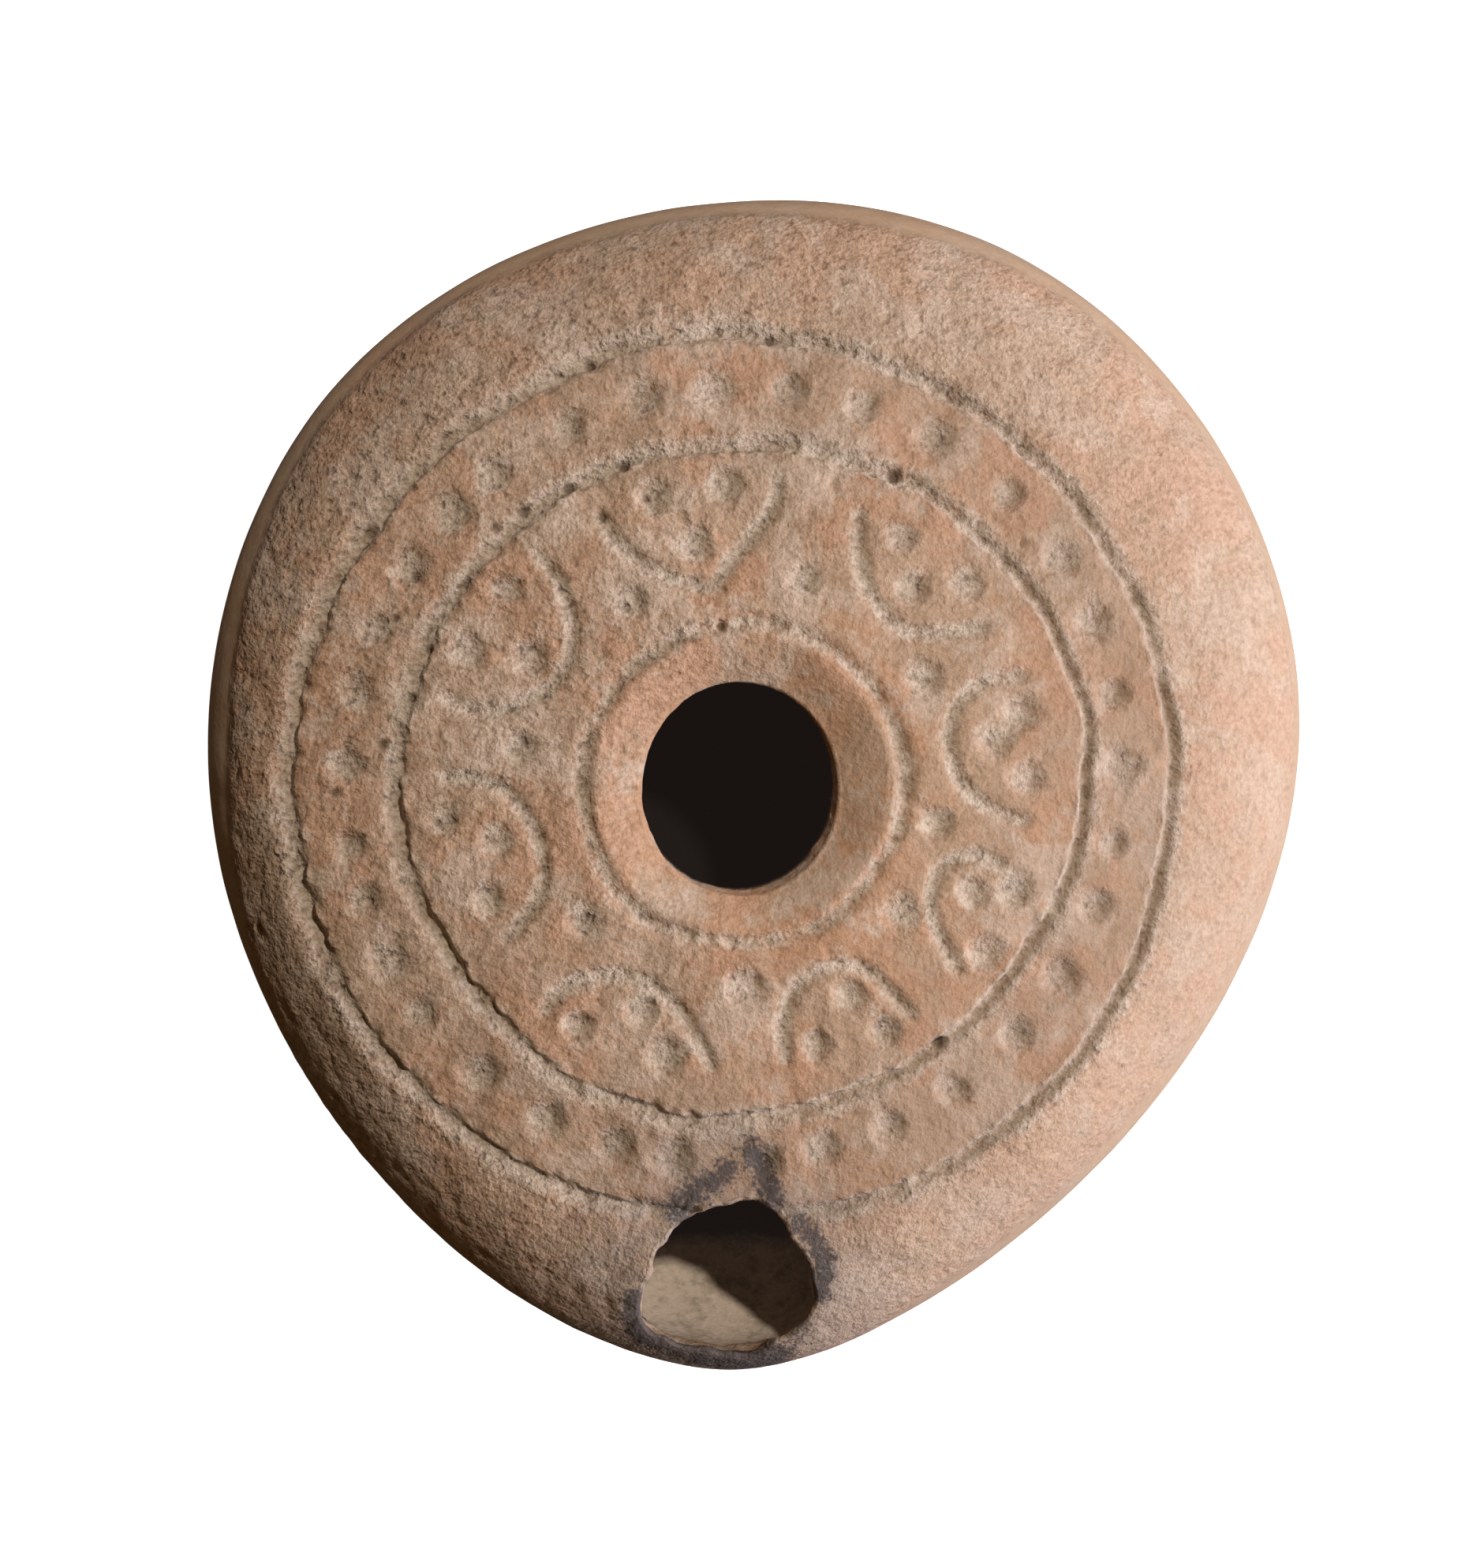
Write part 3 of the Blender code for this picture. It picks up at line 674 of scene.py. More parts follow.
# Profile of the foot ring and base: distance from the foot's middle and height
FOOT_PROFILE = (
    (16.9, 0.4), (16.7, 0.12), (16.4, 0.0), (15.2, 0.0), (13.9, 0.0), (13.5, 0.08), (13.2, 0.4),
    (12.8, 0.6), (9.5, 0.62), (6.0, 0.6), (3.0, 0.6),
)
FOOT_WORN = ((0.05, 3.0, 51),)
FOOT_LEVEL_ROW = 3
BASE_HEIGHT = 0.6
HOLE_SLANT = np.array([-0.35, 0.4])
HOLE_TAPER = 0.9
HOLE_WALL_SHARES = (0.35, 0.7)
HOLE_WALL_UNEVEN = ((0.05, 1.4, 61),)
TORN_WALL_SHARES = (0.25, 0.5, 0.75)
TORN_WALL_UNEVEN = ((0.08, 1.6, 62),)
FLOOR_REACH = (10.5, 7.0, 3.5)

batches = []


def put(points):
    """Adds points to the lamp's mesh and returns their numbers in the points' own layout."""
    start = sum(len(batch) for batch in batches)
    batches.append(points.reshape(-1, 3))
    return start + np.arange(points.size // 3).reshape(points.shape[:-1])


def quads(rows, flip=False):
    """Faces between neighbouring rows of point numbers that close round their columns."""
    here, there = rows[:-1], rows[1:]
    beside, beyond = np.roll(here, -1, axis=1), np.roll(there, -1, axis=1)
    corners = (here, there, beyond, beside) if flip else (here, beside, beyond, there)
    return np.stack([corner.ravel() for corner in corners], axis=1)


def zipped(first, first_turns, second, second_turns, flip=False):
    """Triangles between two closed rings of unlike counts: going round both at once, each step on
    one ring makes a triangle with the point last passed on the other."""
    a, b = np.argsort(first_turns), np.argsort(second_turns)
    first, first_turns = first[a], first_turns[a]
    second, second_turns = second[b], second_turns[b]
    passed = np.searchsorted(second_turns, np.roll(first_turns, -1), side="left") - 1
    one = np.stack([first, np.roll(first, -1), second[passed]], axis=1)
    one[-1, 2] = second[np.searchsorted(second_turns, first_turns[0], side="left") - 1]
    passed = np.searchsorted(first_turns, np.roll(second_turns, -1), side="right") - 1
    other = np.stack([np.roll(second, -1), second, first[passed]], axis=1)
    other[-1, 2] = first[np.searchsorted(first_turns, second_turns[0], side="right") - 1]
    faces = np.concatenate([one, other])
    return faces[:, ::-1] if flip else faces


def closed_pole(ring, centre, flip=False):
    """Triangles from a ring to one point in its middle."""
    middle = np.full(len(ring), centre)
    corners = (ring, np.roll(ring, -1), middle)
    return np.stack(corners[::-1] if flip else corners, axis=1)


def turn_about(centre, points):
    """Bearing of plan points from a centre, from 0 to a full turn."""
    out = points[..., :2] - centre
    return np.arctan2(out[..., 1], out[..., 0]) % FULL_TURN


def reach_of_groove(turns, which):
    """Distance from the disc's middle, in each direction, to the line of a drawn groove (0 the
    outer, 1 the inner): its radius, corrected four times by how far the point is off the line."""
    reach = np.full(turns.shape, GROOVE_RADIUS if which == 0 else INNER_GROOVE_RADIUS)
    for _ in range(4):
        levels = level_at(turns, reach, DISC_EDGE, HOLE_LINE, OUTER_LINE)
        reach = reach - groove_offsets(skin_place(turns, levels))[which]
    return reach


def rising(bearings):
    """Bearings round a ring, held so that they rise at every step."""
    held = np.maximum.accumulate(np.unwrap(bearings))
    return (held + 1e-6 * np.arange(len(held))) % FULL_TURN


def window(levels, turns, half_width, first_level):
    """Rows and columns of a shell's grid that the wick hole's window takes out: those within half
    its width of the nozzle's direction, from its first level to the widest line."""
    columns = np.flatnonzero(np.abs(turns - DOWN) <= half_width)
    rows = np.flatnonzero((levels >= first_level) & (levels <= 2.0 + 1e-9))
    return rows[0], rows[-1], columns[0], columns[-1]


def window_ring(r0, r1, c0, c1):
    """Grid rows and columns round the window's border, once round, rising turn about its hole."""
    right, left = np.arange(r1, r0, -1), np.arange(r0, r1)
    rows = [right, np.full(c1 - c0, r0), left, np.full(c1 - c0, r1)]
    columns = [
        np.full(r1 - r0, c1), np.arange(c1, c0, -1), np.full(r1 - r0, c0), np.arange(c0, c1),
    ]
    return np.concatenate(rows), np.concatenate(columns)


def beside_edge(bearings, off, disc_edge, line):
    """Direction and level of a shell's points that lie a distance outside the wick hole's torn
    edge, whose own distance from its middle is its radius plus its waves."""
    reach = WICK_RADIUS + waves(bearings, WICK_WAVES) + off
    spread = WICK_CENTRE + np.stack([np.cos(bearings), np.sin(bearings)], axis=-1) * reach[:, None]
    out = spread - DISC_CENTRE
    around = np.arctan2(out[:, 1], out[:, 0]) % FULL_TURN
    return around, level_at(around, np.hypot(*out.T), disc_edge, HOLE_LINE, line)


faces = []
NOTED = (
    "recess", "wiped", "rough", "soot", "smoke", "side_painted_shade", "painted_sheen", "pecked", "hollow",
)
notes = {name: [] for name in NOTED}


def remember(points, **feel):
    """Puts points in the mesh with what their surface is like, 0 for what isn't given."""
    for name in notes:
        value = np.ravel(feel.get(name, 0.0))
        notes[name].append(np.broadcast_to(value, (points.size // 3,)).astype(float))
    return put(points)


def skin_grid(turns, levels):
    """A grid of worn skin points over directions and rows of levels."""
    grid_turns = np.broadcast_to(turns, levels.shape)
    moved, feel = worn_skin(grid_turns.ravel(), levels.ravel())
    return remember(moved.reshape(*levels.shape, 3), **feel)


# Top and shoulder: rows close together where they follow the two grooves, even between them
turns = even_turns(COLUMNS)
inner_line, outer_line = reach_of_groove(turns, 1), reach_of_groove(turns, 0)
hole_reach = reach_from(DISC_CENTRE, HOLE_LINE, turns)
first_side, last_side = GROOVE_STATIONS[0], GROOVE_STATIONS[-1]


def spread_rows(start, end):
    """Rows of reach evenly spread between two lines, without those lines' own rows."""
    count = max(int(np.median(end - start) / FIELD_STEP), 2)
    shares = np.linspace(0.0, 1.0, count + 1)[1:-1, None]
    return start + (end - start) * shares


stations = np.array(GROOVE_STATIONS)[:, None]
reaches = np.concatenate(
    [
        hole_reach[None], spread_rows(hole_reach, inner_line + first_side), inner_line + stations,
        spread_rows(inner_line + last_side, outer_line + first_side), outer_line + stations,
    ]
)
far_level = level_at(turns, reaches[-1], DISC_EDGE, HOLE_LINE, OUTER_LINE)
shares = np.linspace(0.0, 1.0, SHOULDER_ROWS + 1)[1:, None]
levels = np.concatenate(
    [
        level_at(np.broadcast_to(turns, reaches.shape), reaches, DISC_EDGE, HOLE_LINE, OUTER_LINE),
        far_level + (2.0 - far_level) * shares,
    ]
)
levels[0] = 0.0
grid = skin_grid(turns, levels)
window_rows = np.median(levels, axis=1)
r0, r1, c0, c1 = window(window_rows, turns, WINDOW_HALF, WINDOW_LEVEL)
kept = np.ones((len(levels) - 1, COLUMNS), bool)
kept[r0:r1, c0:c1] = False
faces.append(quads(grid, flip=True)[kept.ravel()])

# Window round the wick hole: rings from the border to near the edge, then over the lip
rows, columns = window_ring(r0, r1, c0, c1)
border = grid[rows, columns]
border_turns, border_levels = turns[columns], levels[rows, columns]
bare = skin_place(border_turns, border_levels)
about = turn_about(WICK_CENTRE, bare)
near_turns, near_levels = beside_edge(about, LIP_RADIUS, DISC_EDGE, OUTER_LINE)
last = border
for share in np.linspace(0.0, 1.0, WINDOW_RINGS + 1)[1:]:
    ring_turns = border_turns + (near_turns - border_turns) * share
    ring_levels = border_levels + (near_levels - border_levels) * share
    moved, feel = worn_skin(ring_turns, ring_levels)
    ring = remember(moved, **feel)
    faces.append(quads(np.stack([last, ring])))
    last = ring
lip = moved
outward = np.stack([np.cos(about), np.sin(about), np.zeros(len(about))], axis=-1)
for angle in np.linspace(0.0, math.pi / 2, RIM_STEPS + 1)[1:]:
    rounded = lip - outward * LIP_RADIUS * math.sin(angle)
    rounded[:, 2] -= LIP_RADIUS * (1.0 - math.cos(angle))
    ring = remember(rounded, recess=0.3, rough=0.5, soot=feel["soot"] * 1.1, smoke=feel["smoke"])
    faces.append(quads(np.stack([last, ring])))
    last = ring
wick_wall_top, wick_wall_points, wick_about = last, rounded, about

# Bowl, foot and base
bowl_turns = even_turns(BOWL_COLUMNS)
bowl_levels = np.linspace(2.0, 3.0, BOWL_ROWS + 1)[1:, None]
bowl = skin_grid(bowl_turns, np.broadcast_to(bowl_levels, (BOWL_ROWS, BOWL_COLUMNS)))
faces.append(zipped(grid[-1], turns, bowl[0], bowl_turns, flip=True))
faces.append(quads(bowl, flip=True))
foot_turns = np.broadcast_to(bowl_turns, (len(FOOT_PROFILE), BOWL_COLUMNS))
foot_reach, foot_height = np.array(FOOT_PROFILE).T[:, :, None]
foot_rows = np.stack(
    [
        FOOT_CENTRE[0] + foot_reach * np.cos(foot_turns),
        FOOT_CENTRE[1] + foot_reach * np.sin(foot_turns),
        np.broadcast_to(foot_height, foot_turns.shape),
    ],
    axis=-1,
)
worn_foot = np.abs(uneven(foot_rows.reshape(-1, 3), FOOT_WORN)).reshape(foot_turns.shape)
foot_rows[..., 2] += worn_foot * (np.arange(len(FOOT_PROFILE)) != FOOT_LEVEL_ROW)[:, None]
foot = remember(foot_rows, recess=0.2, rough=0.4)
faces.append(quads(np.concatenate([bowl[-1:], foot]), flip=True))
base = remember(np.array([[*FOOT_CENTRE, BASE_HEIGHT]]), recess=0.2, rough=0.4)
faces.append(closed_pole(foot[-1], base[0], flip=True))

# Wall of the filling hole, slanted, with a worn rim
rim_line = batches[0].reshape(len(levels), COLUMNS, 3)[0]
hole_about = turn_about(HOLE_CENTRE, rim_line)
inward = -np.stack([np.cos(hole_about), np.sin(hole_about), np.zeros(COLUMNS)], axis=-1)
last = grid[0]
for angle in np.linspace(0.0, math.pi / 2, RIM_STEPS)[1:]:
    rounded = rim_line + inward * HOLE_RIM * math.sin(angle)
    rounded[:, 2] -= HOLE_RIM * (1.0 - math.cos(angle))
    ring = remember(rounded, recess=0.1, rough=0.2)
    faces.append(quads(np.stack([last, ring])))
    last = ring
hole_top = rounded
chamber_turns = even_turns(CHAMBER_COLUMNS)
ceiling_rim = chamber_face(chamber_turns, np.zeros(CHAMBER_COLUMNS))
drawn_in = HOLE_RIM * HOLE_TAPER * (ceiling_rim[:, :2] - HOLE_CENTRE) / HOLE_RADIUS
ceiling_rim[:, :2] += HOLE_SLANT - drawn_in
ceiling_about = turn_about(HOLE_CENTRE, ceiling_rim)
order = np.argsort(ceiling_about)
floor_of_wall = np.interp(
    turn_about(HOLE_CENTRE, hole_top), ceiling_about[order], ceiling_rim[order, 2],
    period=FULL_TURN,
)
for share in HOLE_WALL_SHARES:
    wall = hole_top.copy()
    wall[:, :2] += HOLE_SLANT * share
    wall[:, 2] += (floor_of_wall - hole_top[:, 2]) * share
    wall += inward * uneven(wall, HOLE_WALL_UNEVEN)[:, None]
    # The hollow share grows down the wall, blending it towards the chamber's colours, painted
    # shade included
    ring = remember(wall, recess=0.1, rough=0.3, hollow=0.35 * share)
    faces.append(quads(np.stack([last, ring])))
    last = ring
wall_turns = turn_about(HOLE_CENTRE, wall)

# Chamber: ceiling, inner shoulder, inner bowl and floor
ceiling_rows, side_rows, bowl_rows = CHAMBER_ROWS
chamber_levels = np.concatenate(
    [
        np.linspace(0.0, 1.0, ceiling_rows + 1), np.linspace(1.0, 2.0, side_rows + 1)[1:],
        np.linspace(2.0, 3.0, bowl_rows + 1)[1:],
    ]
)
inner_turns, inner_levels = np.meshgrid(chamber_turns, chamber_levels)
inner = chamber_face(inner_turns.ravel(), inner_levels.ravel()).reshape(*inner_turns.shape, 3)
inner[0] = ceiling_rim
chamber = remember(inner, hollow=1.0)
r0, r1, c0, c1 = window(chamber_levels, chamber_turns, INNER_WINDOW_HALF, INNER_WINDOW_LEVEL)
r1 += INNER_WINDOW_ROWS_BELOW
kept = np.ones((len(chamber_levels) - 1, CHAMBER_COLUMNS), bool)
kept[r0:r1, c0:c1] = False
faces.append(quads(chamber)[kept.ravel()])
faces.append(zipped(last, wall_turns, chamber[0], turn_about(HOLE_CENTRE, inner[0])))
floor_rows = np.stack(
    [wavy_circle(FOOT_CENTRE, reach, (), chamber_turns) for reach in FLOOR_REACH]
)
floor_rows = np.concatenate(
    [floor_rows, np.full((len(FLOOR_REACH), CHAMBER_COLUMNS, 1), FLOOR_HEIGHT)], axis=-1
)
floor = remember(floor_rows, hollow=1.0)
faces.append(quads(np.concatenate([chamber[-1:], floor])))
pole = remember(np.array([[*FOOT_CENTRE, FLOOR_HEIGHT]]), hollow=1.0)
faces.append(closed_pole(floor[-1], pole[0]))

# Window of the chamber under the wick hole, then the torn wall between both windows
rows, columns = window_ring(r0, r1, c0, c1)
border = chamber[rows, columns]
border_turns, border_levels = chamber_turns[columns], chamber_levels[rows]
about = rising(turn_about(WICK_CENTRE, chamber_place(border_turns, border_levels)))
near_turns, near_levels = beside_edge(about, 0.0, CHAMBER_EDGE, INNER_LINE)
last = border
for share in INNER_WINDOW_SHARES:
    ring_turns = border_turns + (near_turns - border_turns) * share
    ring_levels = border_levels + (near_levels - border_levels) * share
    moved = chamber_face(ring_turns, ring_levels)
    ring = remember(moved, hollow=1.0)
    faces.append(quads(np.stack([last, ring]), flip=True))
    last = ring
wall_foot, wall_foot_points = last, moved
order = np.argsort(about)
foot_at_top = np.stack(
    [
        np.interp(wick_about, about[order], wall_foot_points[order, axis], period=FULL_TURN)
        for axis in range(3)
    ],
    axis=-1,
)
last = wick_wall_top
for share in TORN_WALL_SHARES:
    wall = wick_wall_points + (foot_at_top - wick_wall_points) * share
    wall[:, :2] += uneven(wall, TORN_WALL_UNEVEN)[:, None] * outward[:, :2]
    # The hollow share grows down the wall, blending it towards the chamber's colours, painted
    # shade included
    ring = remember(wall, recess=0.2, rough=0.5, hollow=0.4 * share)
    faces.append(quads(np.stack([last, ring])))
    last = ring
faces.append(zipped(last, wick_about, wall_foot, about))

# The lamp's object, riding on the one body
lamp_mesh = bpy.data.meshes.new("oil_lamp")
all_points = np.concatenate(batches)
all_faces = [face for block in faces for face in block.tolist()]
used = np.unique(np.concatenate([block.ravel() for block in faces]))
renumber = np.full(len(all_points), -1)
renumber[used] = np.arange(len(used))
middle = box_middle()
placed = (all_points[used] - np.array([middle[0], middle[1], 0.0])) * MM
lamp_mesh.from_pydata(placed, [], [renumber[face].tolist() for face in all_faces])
for name, values in notes.items():
    attribute = lamp_mesh.attributes.new(name, "FLOAT", "POINT")
    attribute.data.foreach_set("value", np.concatenate(values)[used])
lamp_mesh.shade_smooth()
lamp = bpy.data.objects.new("oil_lamp", lamp_mesh)
bpy.context.scene.collection.objects.link(lamp)
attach(lamp, "root")
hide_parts("lamp_body")

# Lamp body, surface: matt pinkish orange clay with paler pink scuffs, pale grey-beige earth left
# in every recess, fine dark and light grains, and soot round the wick hole. Light and shade are
# also
# painted: a paler painted sheen on the shoulder's right side, painted shade over the top's right
# side and in the pits, and a nearly black chamber, partly soot and partly painted shade, with a
# faint painted glow.


class Signal:
    """A shader socket that Python arithmetic works on: each operator adds one Math node."""

    def __init__(self, tree, socket=None):
        self.tree = tree
        self.socket = socket

    def add(self, kind, settings=None, inputs=None, output=0):
        """Adds a node of a kind, sets its settings, fills its sockets, and gives one output."""
        node = self.tree.nodes.new(kind)
        for name, value in (settings or {}).items():
            setattr(node, name, value)
        for key, value in (inputs or {}).items():
            if isinstance(value, Signal):
                self.tree.links.new(value.socket, node.inputs[key])
            else:
                node.inputs[key].default_value = value
        return Signal(self.tree, node.outputs[output])

    def math(self, operation, *values):
        return self.add("ShaderNodeMath", {"operation": operation}, dict(enumerate(values)))

    def __add__(self, other):
        return self.math("ADD", self, other)

    def __sub__(self, other):
        return self.math("SUBTRACT", self, other)

    def __rsub__(self, other):
        return self.math("SUBTRACT", other, self)

    def __mul__(self, other):
        return self.math("MULTIPLY", self, other)

    def __pow__(self, other):
        return self.math("POWER", self, other)

    __radd__ = __add__
    __rmul__ = __mul__

    def at_most(self, most):
        """The lesser of this signal and a number."""
        return self.math("MINIMUM", self, most)

    def between(self, low, high):
        """Smooth step of this signal's way from low to high."""
        inputs = {"Value": self, "From Min": low, "From Max": high}
        return self.add("ShaderNodeMapRange", {"interpolation_type": "SMOOTHSTEP"}, inputs)

    def blend(self, first, second):
        """Colour mix from the first to the second by this signal."""
        inputs = {0: self, 6: first, 7: second}
        return self.add("ShaderNodeMix", {"data_type": "RGBA"}, inputs, 2)


def noise(tree, place, size_mm, detail, roughness, shift):
    """Blender's noise over Object coordinates, its features about the given size."""
    moved = Signal(tree).add(
        "ShaderNodeVectorMath", {"operation": "ADD"}, {0: place, 1: (shift, shift, shift)}
    )
    inputs = {"Vector": moved, "Scale": 1.0 / (size_mm * MM), "Detail": detail}
    inputs["Roughness"] = roughness
    return Signal(tree).add("ShaderNodeTexNoise", {}, inputs)


CLAY = (0.43, 0.258, 0.146, 1.0)
CLAY_ORANGE = (0.455, 0.228, 0.112, 1.0)
CLAY_PINK = (0.52, 0.362, 0.247, 1.0)
BAND_CLAY = (0.50, 0.33, 0.2, 1.0)
EARTH = (0.60, 0.455, 0.325, 1.0)
EARTH_GREY = (0.46, 0.355, 0.25, 1.0)
PALE_GRAIN = (0.70, 0.56, 0.44, 1.0)
DARK_GRAIN_AND_SHADE = (0.15, 0.10, 0.065, 1.0)
SIDE_SHADE_BROWN = (0.28, 0.185, 0.12, 1.0)
SOOT = (0.062, 0.05, 0.047, 1.0)
SMOKED = (0.27, 0.21, 0.165, 1.0)
CHAMBER_SOOT_AND_SHADE = (0.009, 0.007, 0.006, 1.0)
CHAMBER_PAINTED_GLOW = (0.0094, 0.0066, 0.0055, 1.0)
NOZZLE_FLOOR = (0.62, 0.475, 0.36, 1.0)
NOZZLE_STAIN = (0.36, 0.285, 0.2, 1.0)
BLACK = (0.0, 0.0, 0.0, 1.0)
# Object Y in millimetres between which the nozzle's pale floor gives way to the nearly black
# chamber, partly soot and partly painted shade
THROAT = (-34.8, -33.0)

# Noises over the clay: size in millimetres, detail, roughness and shift
BROAD = (9.0, 3.0, 0.55, 0.0)
SCUFFS = (5.0, 5.0, 0.62, 0.5)
PATCHES = (2.2, 3.0, 0.6, 0.3)
MOTTLE = (0.95, 3.0, 0.65, 0.7)
GRAINS = (0.36, 2.0, 0.62, 1.1)
LUMPS = (0.62, 1.5, 0.5, 2.7)

# Values between which each mask goes from none to full, and the most of a colour that it lays on
PIT_RANGE, PIT_SHARE = (0.66, 0.92), 0.7
CLAY_RANGE = (0.44, 0.56)
SCUFF_RANGE = (0.49, 0.6)
EARTH_TINT_RANGE = (0.4, 0.56)
EARTH_RANGE, EARTH_SHARE = (0.25, 1.0), 0.85
GRAIN_RANGE = (0.3, 0.7)
SIDE_SHADE_SHARE = 0.4
PECK_RANGE, PECK_SHARE = (0.0, 0.9), 0.75
SMOKE_RANGE, SMOKE_SHARE = (0.3, 0.75), 0.6
SOOT_RANGE, SOOT_SHARE = (0.2, 1.1), 0.86
SOOT_EDGE = (0.02, 0.3)
STAIN_RANGE, STAIN_SHARE = (0.44, 0.62), 0.75
FLOOR_GRAIN_RANGE, FLOOR_GRAIN_SHARE = (0.45, 0.65), 0.4
HOLLOW_RANGE = (0.2, 0.9)

PAINTED_GLOW_STRENGTH = 1.0
CLAY_ROUGHNESS = 0.93
BAND_SMOOTHER = 0.14
CLAY_SHINE = 0.12
BUMP_STRENGTH = 0.9

clay = bpy.data.materials.new("fired_clay_worn")
clay.use_nodes = True
tree = clay.node_tree
shader = tree.nodes["Principled BSDF"]
place = Signal(tree).add("ShaderNodeTexCoord", output="Object")


def painted(name):
    """A value stored on the lamp's points."""
    return Signal(tree).add("ShaderNodeAttribute", {"attribute_name": name}, output="Fac")


recess, wiped, rough, soot, smoke, side_painted_shade, painted_sheen, pit_shade, hollow = map(painted, NOTED)

broad = noise(tree, place, *BROAD)
scuffs = noise(tree, place, *SCUFFS)
patches = noise(tree, place, *PATCHES)
mottle = noise(tree, place, *MOTTLE)
grains = noise(tree, place, *GRAINS)
lumps = noise(tree, place, *LUMPS)
gritty = (rough * 0.95 + recess * 0.6).at_most(1.0)
pit_mask = (1 - lumps + patches * 0.25).between(*PIT_RANGE) * gritty

body_colour = (broad * 0.7 + patches * 0.3).between(*CLAY_RANGE).blend(CLAY, CLAY_ORANGE)
scuffed = (scuffs * 0.85 + mottle * 0.15).between(*SCUFF_RANGE)
# Painted sheen: the shoulder is paler pink on its right side, where the lights fall; elsewhere
# random scuffs make it paler
paler = 0.04 + painted_sheen * 0.4 + scuffed * (0.78 - painted_sheen * 0.5)
body_colour = paler.blend(body_colour, CLAY_PINK)
body_colour = (wiped * (0.2 + patches * 0.9)).blend(body_colour, BAND_CLAY)
earth_colour = (mottle * 0.6 + patches * 0.4).between(*EARTH_TINT_RANGE)
earth_colour = earth_colour.blend(EARTH_GREY, EARTH)
earth_mask = (recess + (patches - 0.5) * 1.2 + (mottle - 0.5) * 1.6 - wiped).between(*EARTH_RANGE)
colour = (earth_mask * EARTH_SHARE).blend(body_colour, earth_colour)
darker = (0.1 + gritty * 0.36).blend(colour, DARK_GRAIN_AND_SHADE)
lighter = (0.08 + gritty * 0.32).blend(colour, PALE_GRAIN)
colour = (grains * 0.75 + lumps * 0.25).between(*GRAIN_RANGE).blend(darker, lighter)
# Dark flecks in the small dents of the bump: partly dark grains of the clay, partly painted shade,
# strongest in recesses and on the rough side away from the lights
colour = (pit_mask * PIT_SHARE).blend(colour, DARK_GRAIN_AND_SHADE)
# Painted shade darkens the top's right side
colour = (side_painted_shade * SIDE_SHADE_SHARE).blend(colour, SIDE_SHADE_BROWN)
# Painted shade in the larger pits
colour = (pit_shade.between(*PECK_RANGE) * PECK_SHARE).blend(colour, DARK_GRAIN_AND_SHADE)
colour = (smoke * (patches + 0.1).between(*SMOKE_RANGE) * SMOKE_SHARE).blend(colour, SMOKED)

soot_mask = (soot * 0.95 + (mottle - 0.5) * 1.3 + (grains - 0.5) * 2.6).between(*SOOT_RANGE)
soot_mask = soot_mask * soot.between(*SOOT_EDGE)
colour = (soot_mask * SOOT_SHARE).blend(colour, SOOT)

inwards = Signal(tree).add("ShaderNodeSeparateXYZ", {}, {0: place}, 1) * (1.0 / MM)
# Painted shade: past the throat the chamber's faces are nearly black, partly soot and partly
# painted shade
nozzle = 1 - (inwards + (patches - 0.5) * 1.5).between(*THROAT)
inside = nozzle.blend(CHAMBER_SOOT_AND_SHADE, NOZZLE_FLOOR)
stained = (patches * 0.5 + mottle * 0.5).between(*STAIN_RANGE) * nozzle * STAIN_SHARE
inside = stained.blend(inside, NOZZLE_STAIN)
specks = grains.between(*FLOOR_GRAIN_RANGE) * nozzle * FLOOR_GRAIN_SHARE
inside = specks.blend(inside, PALE_GRAIN)
# The chamber's colours, painted shade included, spread over the hollow and down the holes' walls
colour = hollow.between(*HOLLOW_RANGE).blend(colour, inside)
tree.links.new(colour.socket, shader.inputs["Base Color"])
# Painted light: the dark chamber past the nozzle's floor glows faintly, though nothing in it is a
# lamp
painted_glow = (hollow.between(*HOLLOW_RANGE) * (1 - nozzle)).blend(BLACK, CHAMBER_PAINTED_GLOW)
tree.links.new(painted_glow.socket, shader.inputs["Emission Color"])
shader.inputs["Emission Strength"].default_value = PAINTED_GLOW_STRENGTH

roughness = CLAY_ROUGHNESS - wiped * BAND_SMOOTHER
tree.links.new(roughness.socket, shader.inputs["Roughness"])
shader.inputs["Specular IOR Level"].default_value = CLAY_SHINE

keen = (1 - wiped * 0.85) * (0.35 + gritty * 0.75)
height = (grains * 0.22 - pit_mask * 0.1 + mottle * 0.28 + lumps * 0.14) * keen + patches * 0.12
bump = Signal(tree).add(
    "ShaderNodeBump", {}, {"Height": height, "Strength": BUMP_STRENGTH, "Distance": MM}
)
tree.links.new(bump.socket, shader.inputs["Normal"])
lamp_mesh.materials.append(clay)

# Stage: a plain pale floor and backdrop, which only the camera sees, and plain studio light: a
# small soft key from the upper right, a broad fill from the right, and a low warm surround.

STAGE_RADIUS = 4.0
STAGE_SIDES = 96
DOME_ROWS = 24
DOME_START = -0.35
FLOOR_DROP = 0.0002
PAPER = (0.93, 0.93, 0.93, 1.0)
KEY_AZIMUTH = math.radians(41.0)
KEY_ELEVATION = math.radians(62.5)
KEY_STRENGTH = 1.8
KEY_ANGLE = math.radians(3.5)
KEY_WHITE = (1.0, 0.965, 0.9)
# Azimuth, elevation, power and width of each broad light, in degrees, watts and metres
FILLS = (
    ("window", -12.0, 13.0, 9.5, 0.8), ("window_top", 0.0, 30.0, 3.7, 0.8),
    ("wall", 90.0, 14.0, 1.6, 0.8),
)
FILL_DISTANCE = 0.9
SURROUND = (0.064, 0.044, 0.023, 1.0)
WINDOW_WHITE = (0.95, 1.03, 1.28)


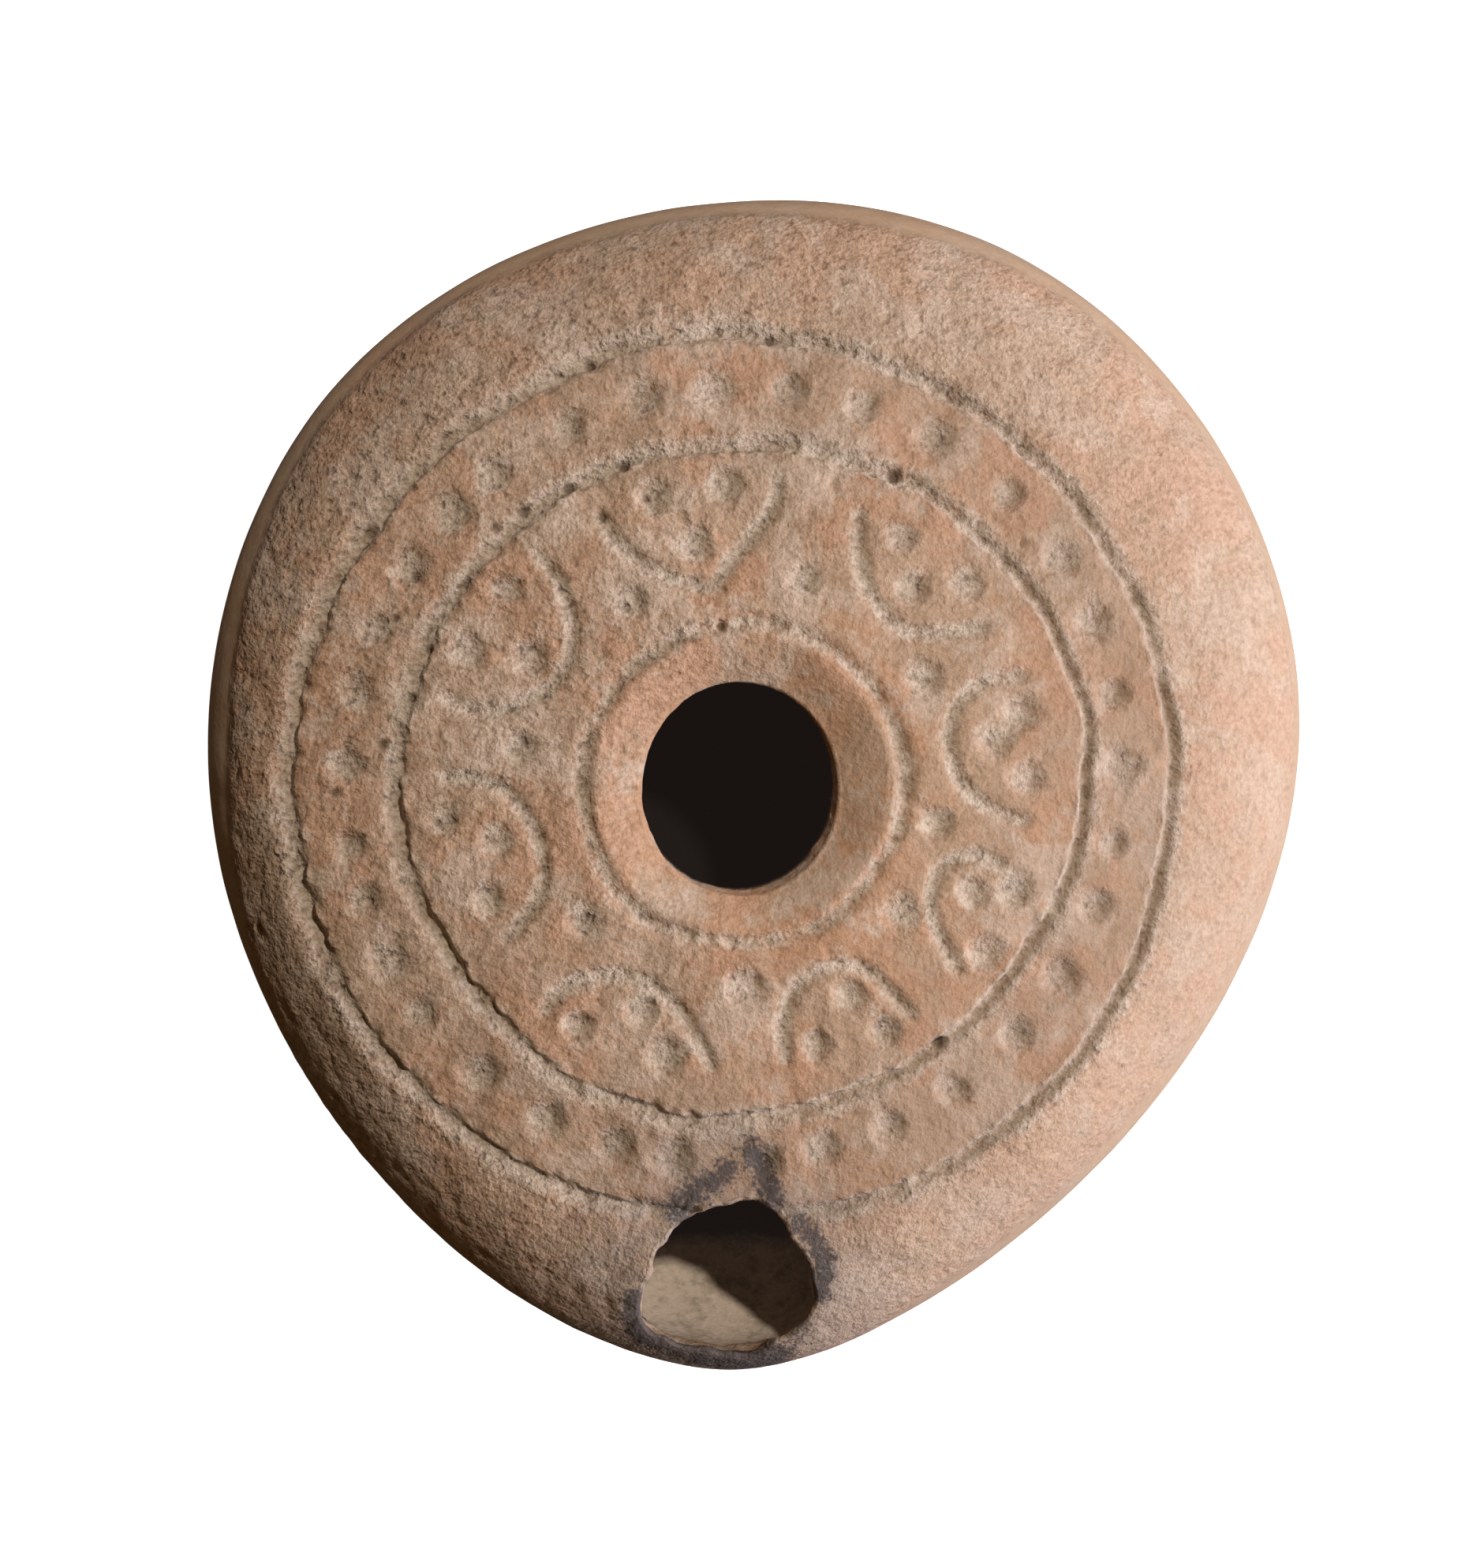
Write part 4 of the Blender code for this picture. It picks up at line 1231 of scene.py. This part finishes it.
def disc(name, radius, height):
    """A flat disc: a ring of points at a height, closed by one face."""
    around = even_turns(STAGE_SIDES)
    up = np.full(STAGE_SIDES, height)
    ring = np.stack([radius * np.cos(around), radius * np.sin(around), up], axis=-1)
    mesh = bpy.data.meshes.new(name)
    mesh.from_pydata(ring, [], [list(range(STAGE_SIDES))])
    return mesh


def dome(name, radius, rows):
    """A sphere cap seen from inside: rings at even angles from below the floor to its pole."""
    rise = np.linspace(DOME_START, 1.0, rows + 1)[:-1] * math.pi / 2
    around = even_turns(STAGE_SIDES)
    flat, up = np.meshgrid(around, rise)
    level = np.cos(up)
    points = radius * np.stack([level * np.cos(flat), level * np.sin(flat), np.sin(up)], axis=-1)
    numbers = np.arange(points.size // 3).reshape(flat.shape)
    made = quads(numbers, flip=True).tolist()
    made += closed_pole(numbers[-1], numbers.size, flip=True).tolist()
    mesh = bpy.data.meshes.new(name)
    mesh.from_pydata(np.concatenate([points.reshape(-1, 3), [[0, 0, radius]]]), [], made)
    return mesh


paper = bpy.data.materials.new("studio_paper")
paper.use_nodes = True
paper_shader = paper.node_tree.nodes["Principled BSDF"]
paper_shader.inputs["Base Color"].default_value = PAPER
paper_shader.inputs["Roughness"].default_value = 1.0
paper_shader.inputs["Emission Color"].default_value = (1.0, 1.0, 1.0, 1.0)
paper_shader.inputs["Emission Strength"].default_value = 1.0
floor_mesh = disc("floor", STAGE_RADIUS, -FLOOR_DROP)
backdrop_mesh = dome("backdrop", STAGE_RADIUS, DOME_ROWS)
for mesh in (floor_mesh, backdrop_mesh):
    piece = bpy.data.objects.new(mesh.name, mesh)
    mesh.materials.append(paper)
    bpy.context.scene.collection.objects.link(piece)
    piece.visible_diffuse = False
    piece.visible_glossy = False
    piece.visible_transmission = False
    piece.visible_shadow = False


def pointed(direction_from, light):
    """Turns a light so that it shines from a direction towards the origin."""
    light.rotation_mode = "QUATERNION"
    light.rotation_quaternion = direction_from.to_track_quat("Z", "Y")


def towards(azimuth, elevation):
    """Unit vector towards an azimuth and elevation."""
    level = math.cos(elevation)
    return Vector((level * math.cos(azimuth), level * math.sin(azimuth), math.sin(elevation)))


key_data = bpy.data.lights.new("key", "SUN")
key_data.energy = KEY_STRENGTH
key_data.angle = KEY_ANGLE
key_data.color = KEY_WHITE
key = bpy.data.objects.new("key", key_data)
pointed(towards(KEY_AZIMUTH, KEY_ELEVATION), key)
bpy.context.scene.collection.objects.link(key)

for name, azimuth, elevation, power, width in FILLS:
    fill_data = bpy.data.lights.new(name, "AREA")
    fill_data.energy = power
    fill_data.color = WINDOW_WHITE
    fill_data.shape = "DISK"
    fill_data.size = width
    fill = bpy.data.objects.new(name, fill_data)
    side = towards(math.radians(azimuth), math.radians(elevation))
    fill.location = side * FILL_DISTANCE
    pointed(side, fill)
    bpy.context.scene.collection.objects.link(fill)

world = bpy.data.worlds.new("surround")
world.use_nodes = True
world.node_tree.nodes["Background"].inputs["Color"].default_value = SURROUND
bpy.context.scene.world = world
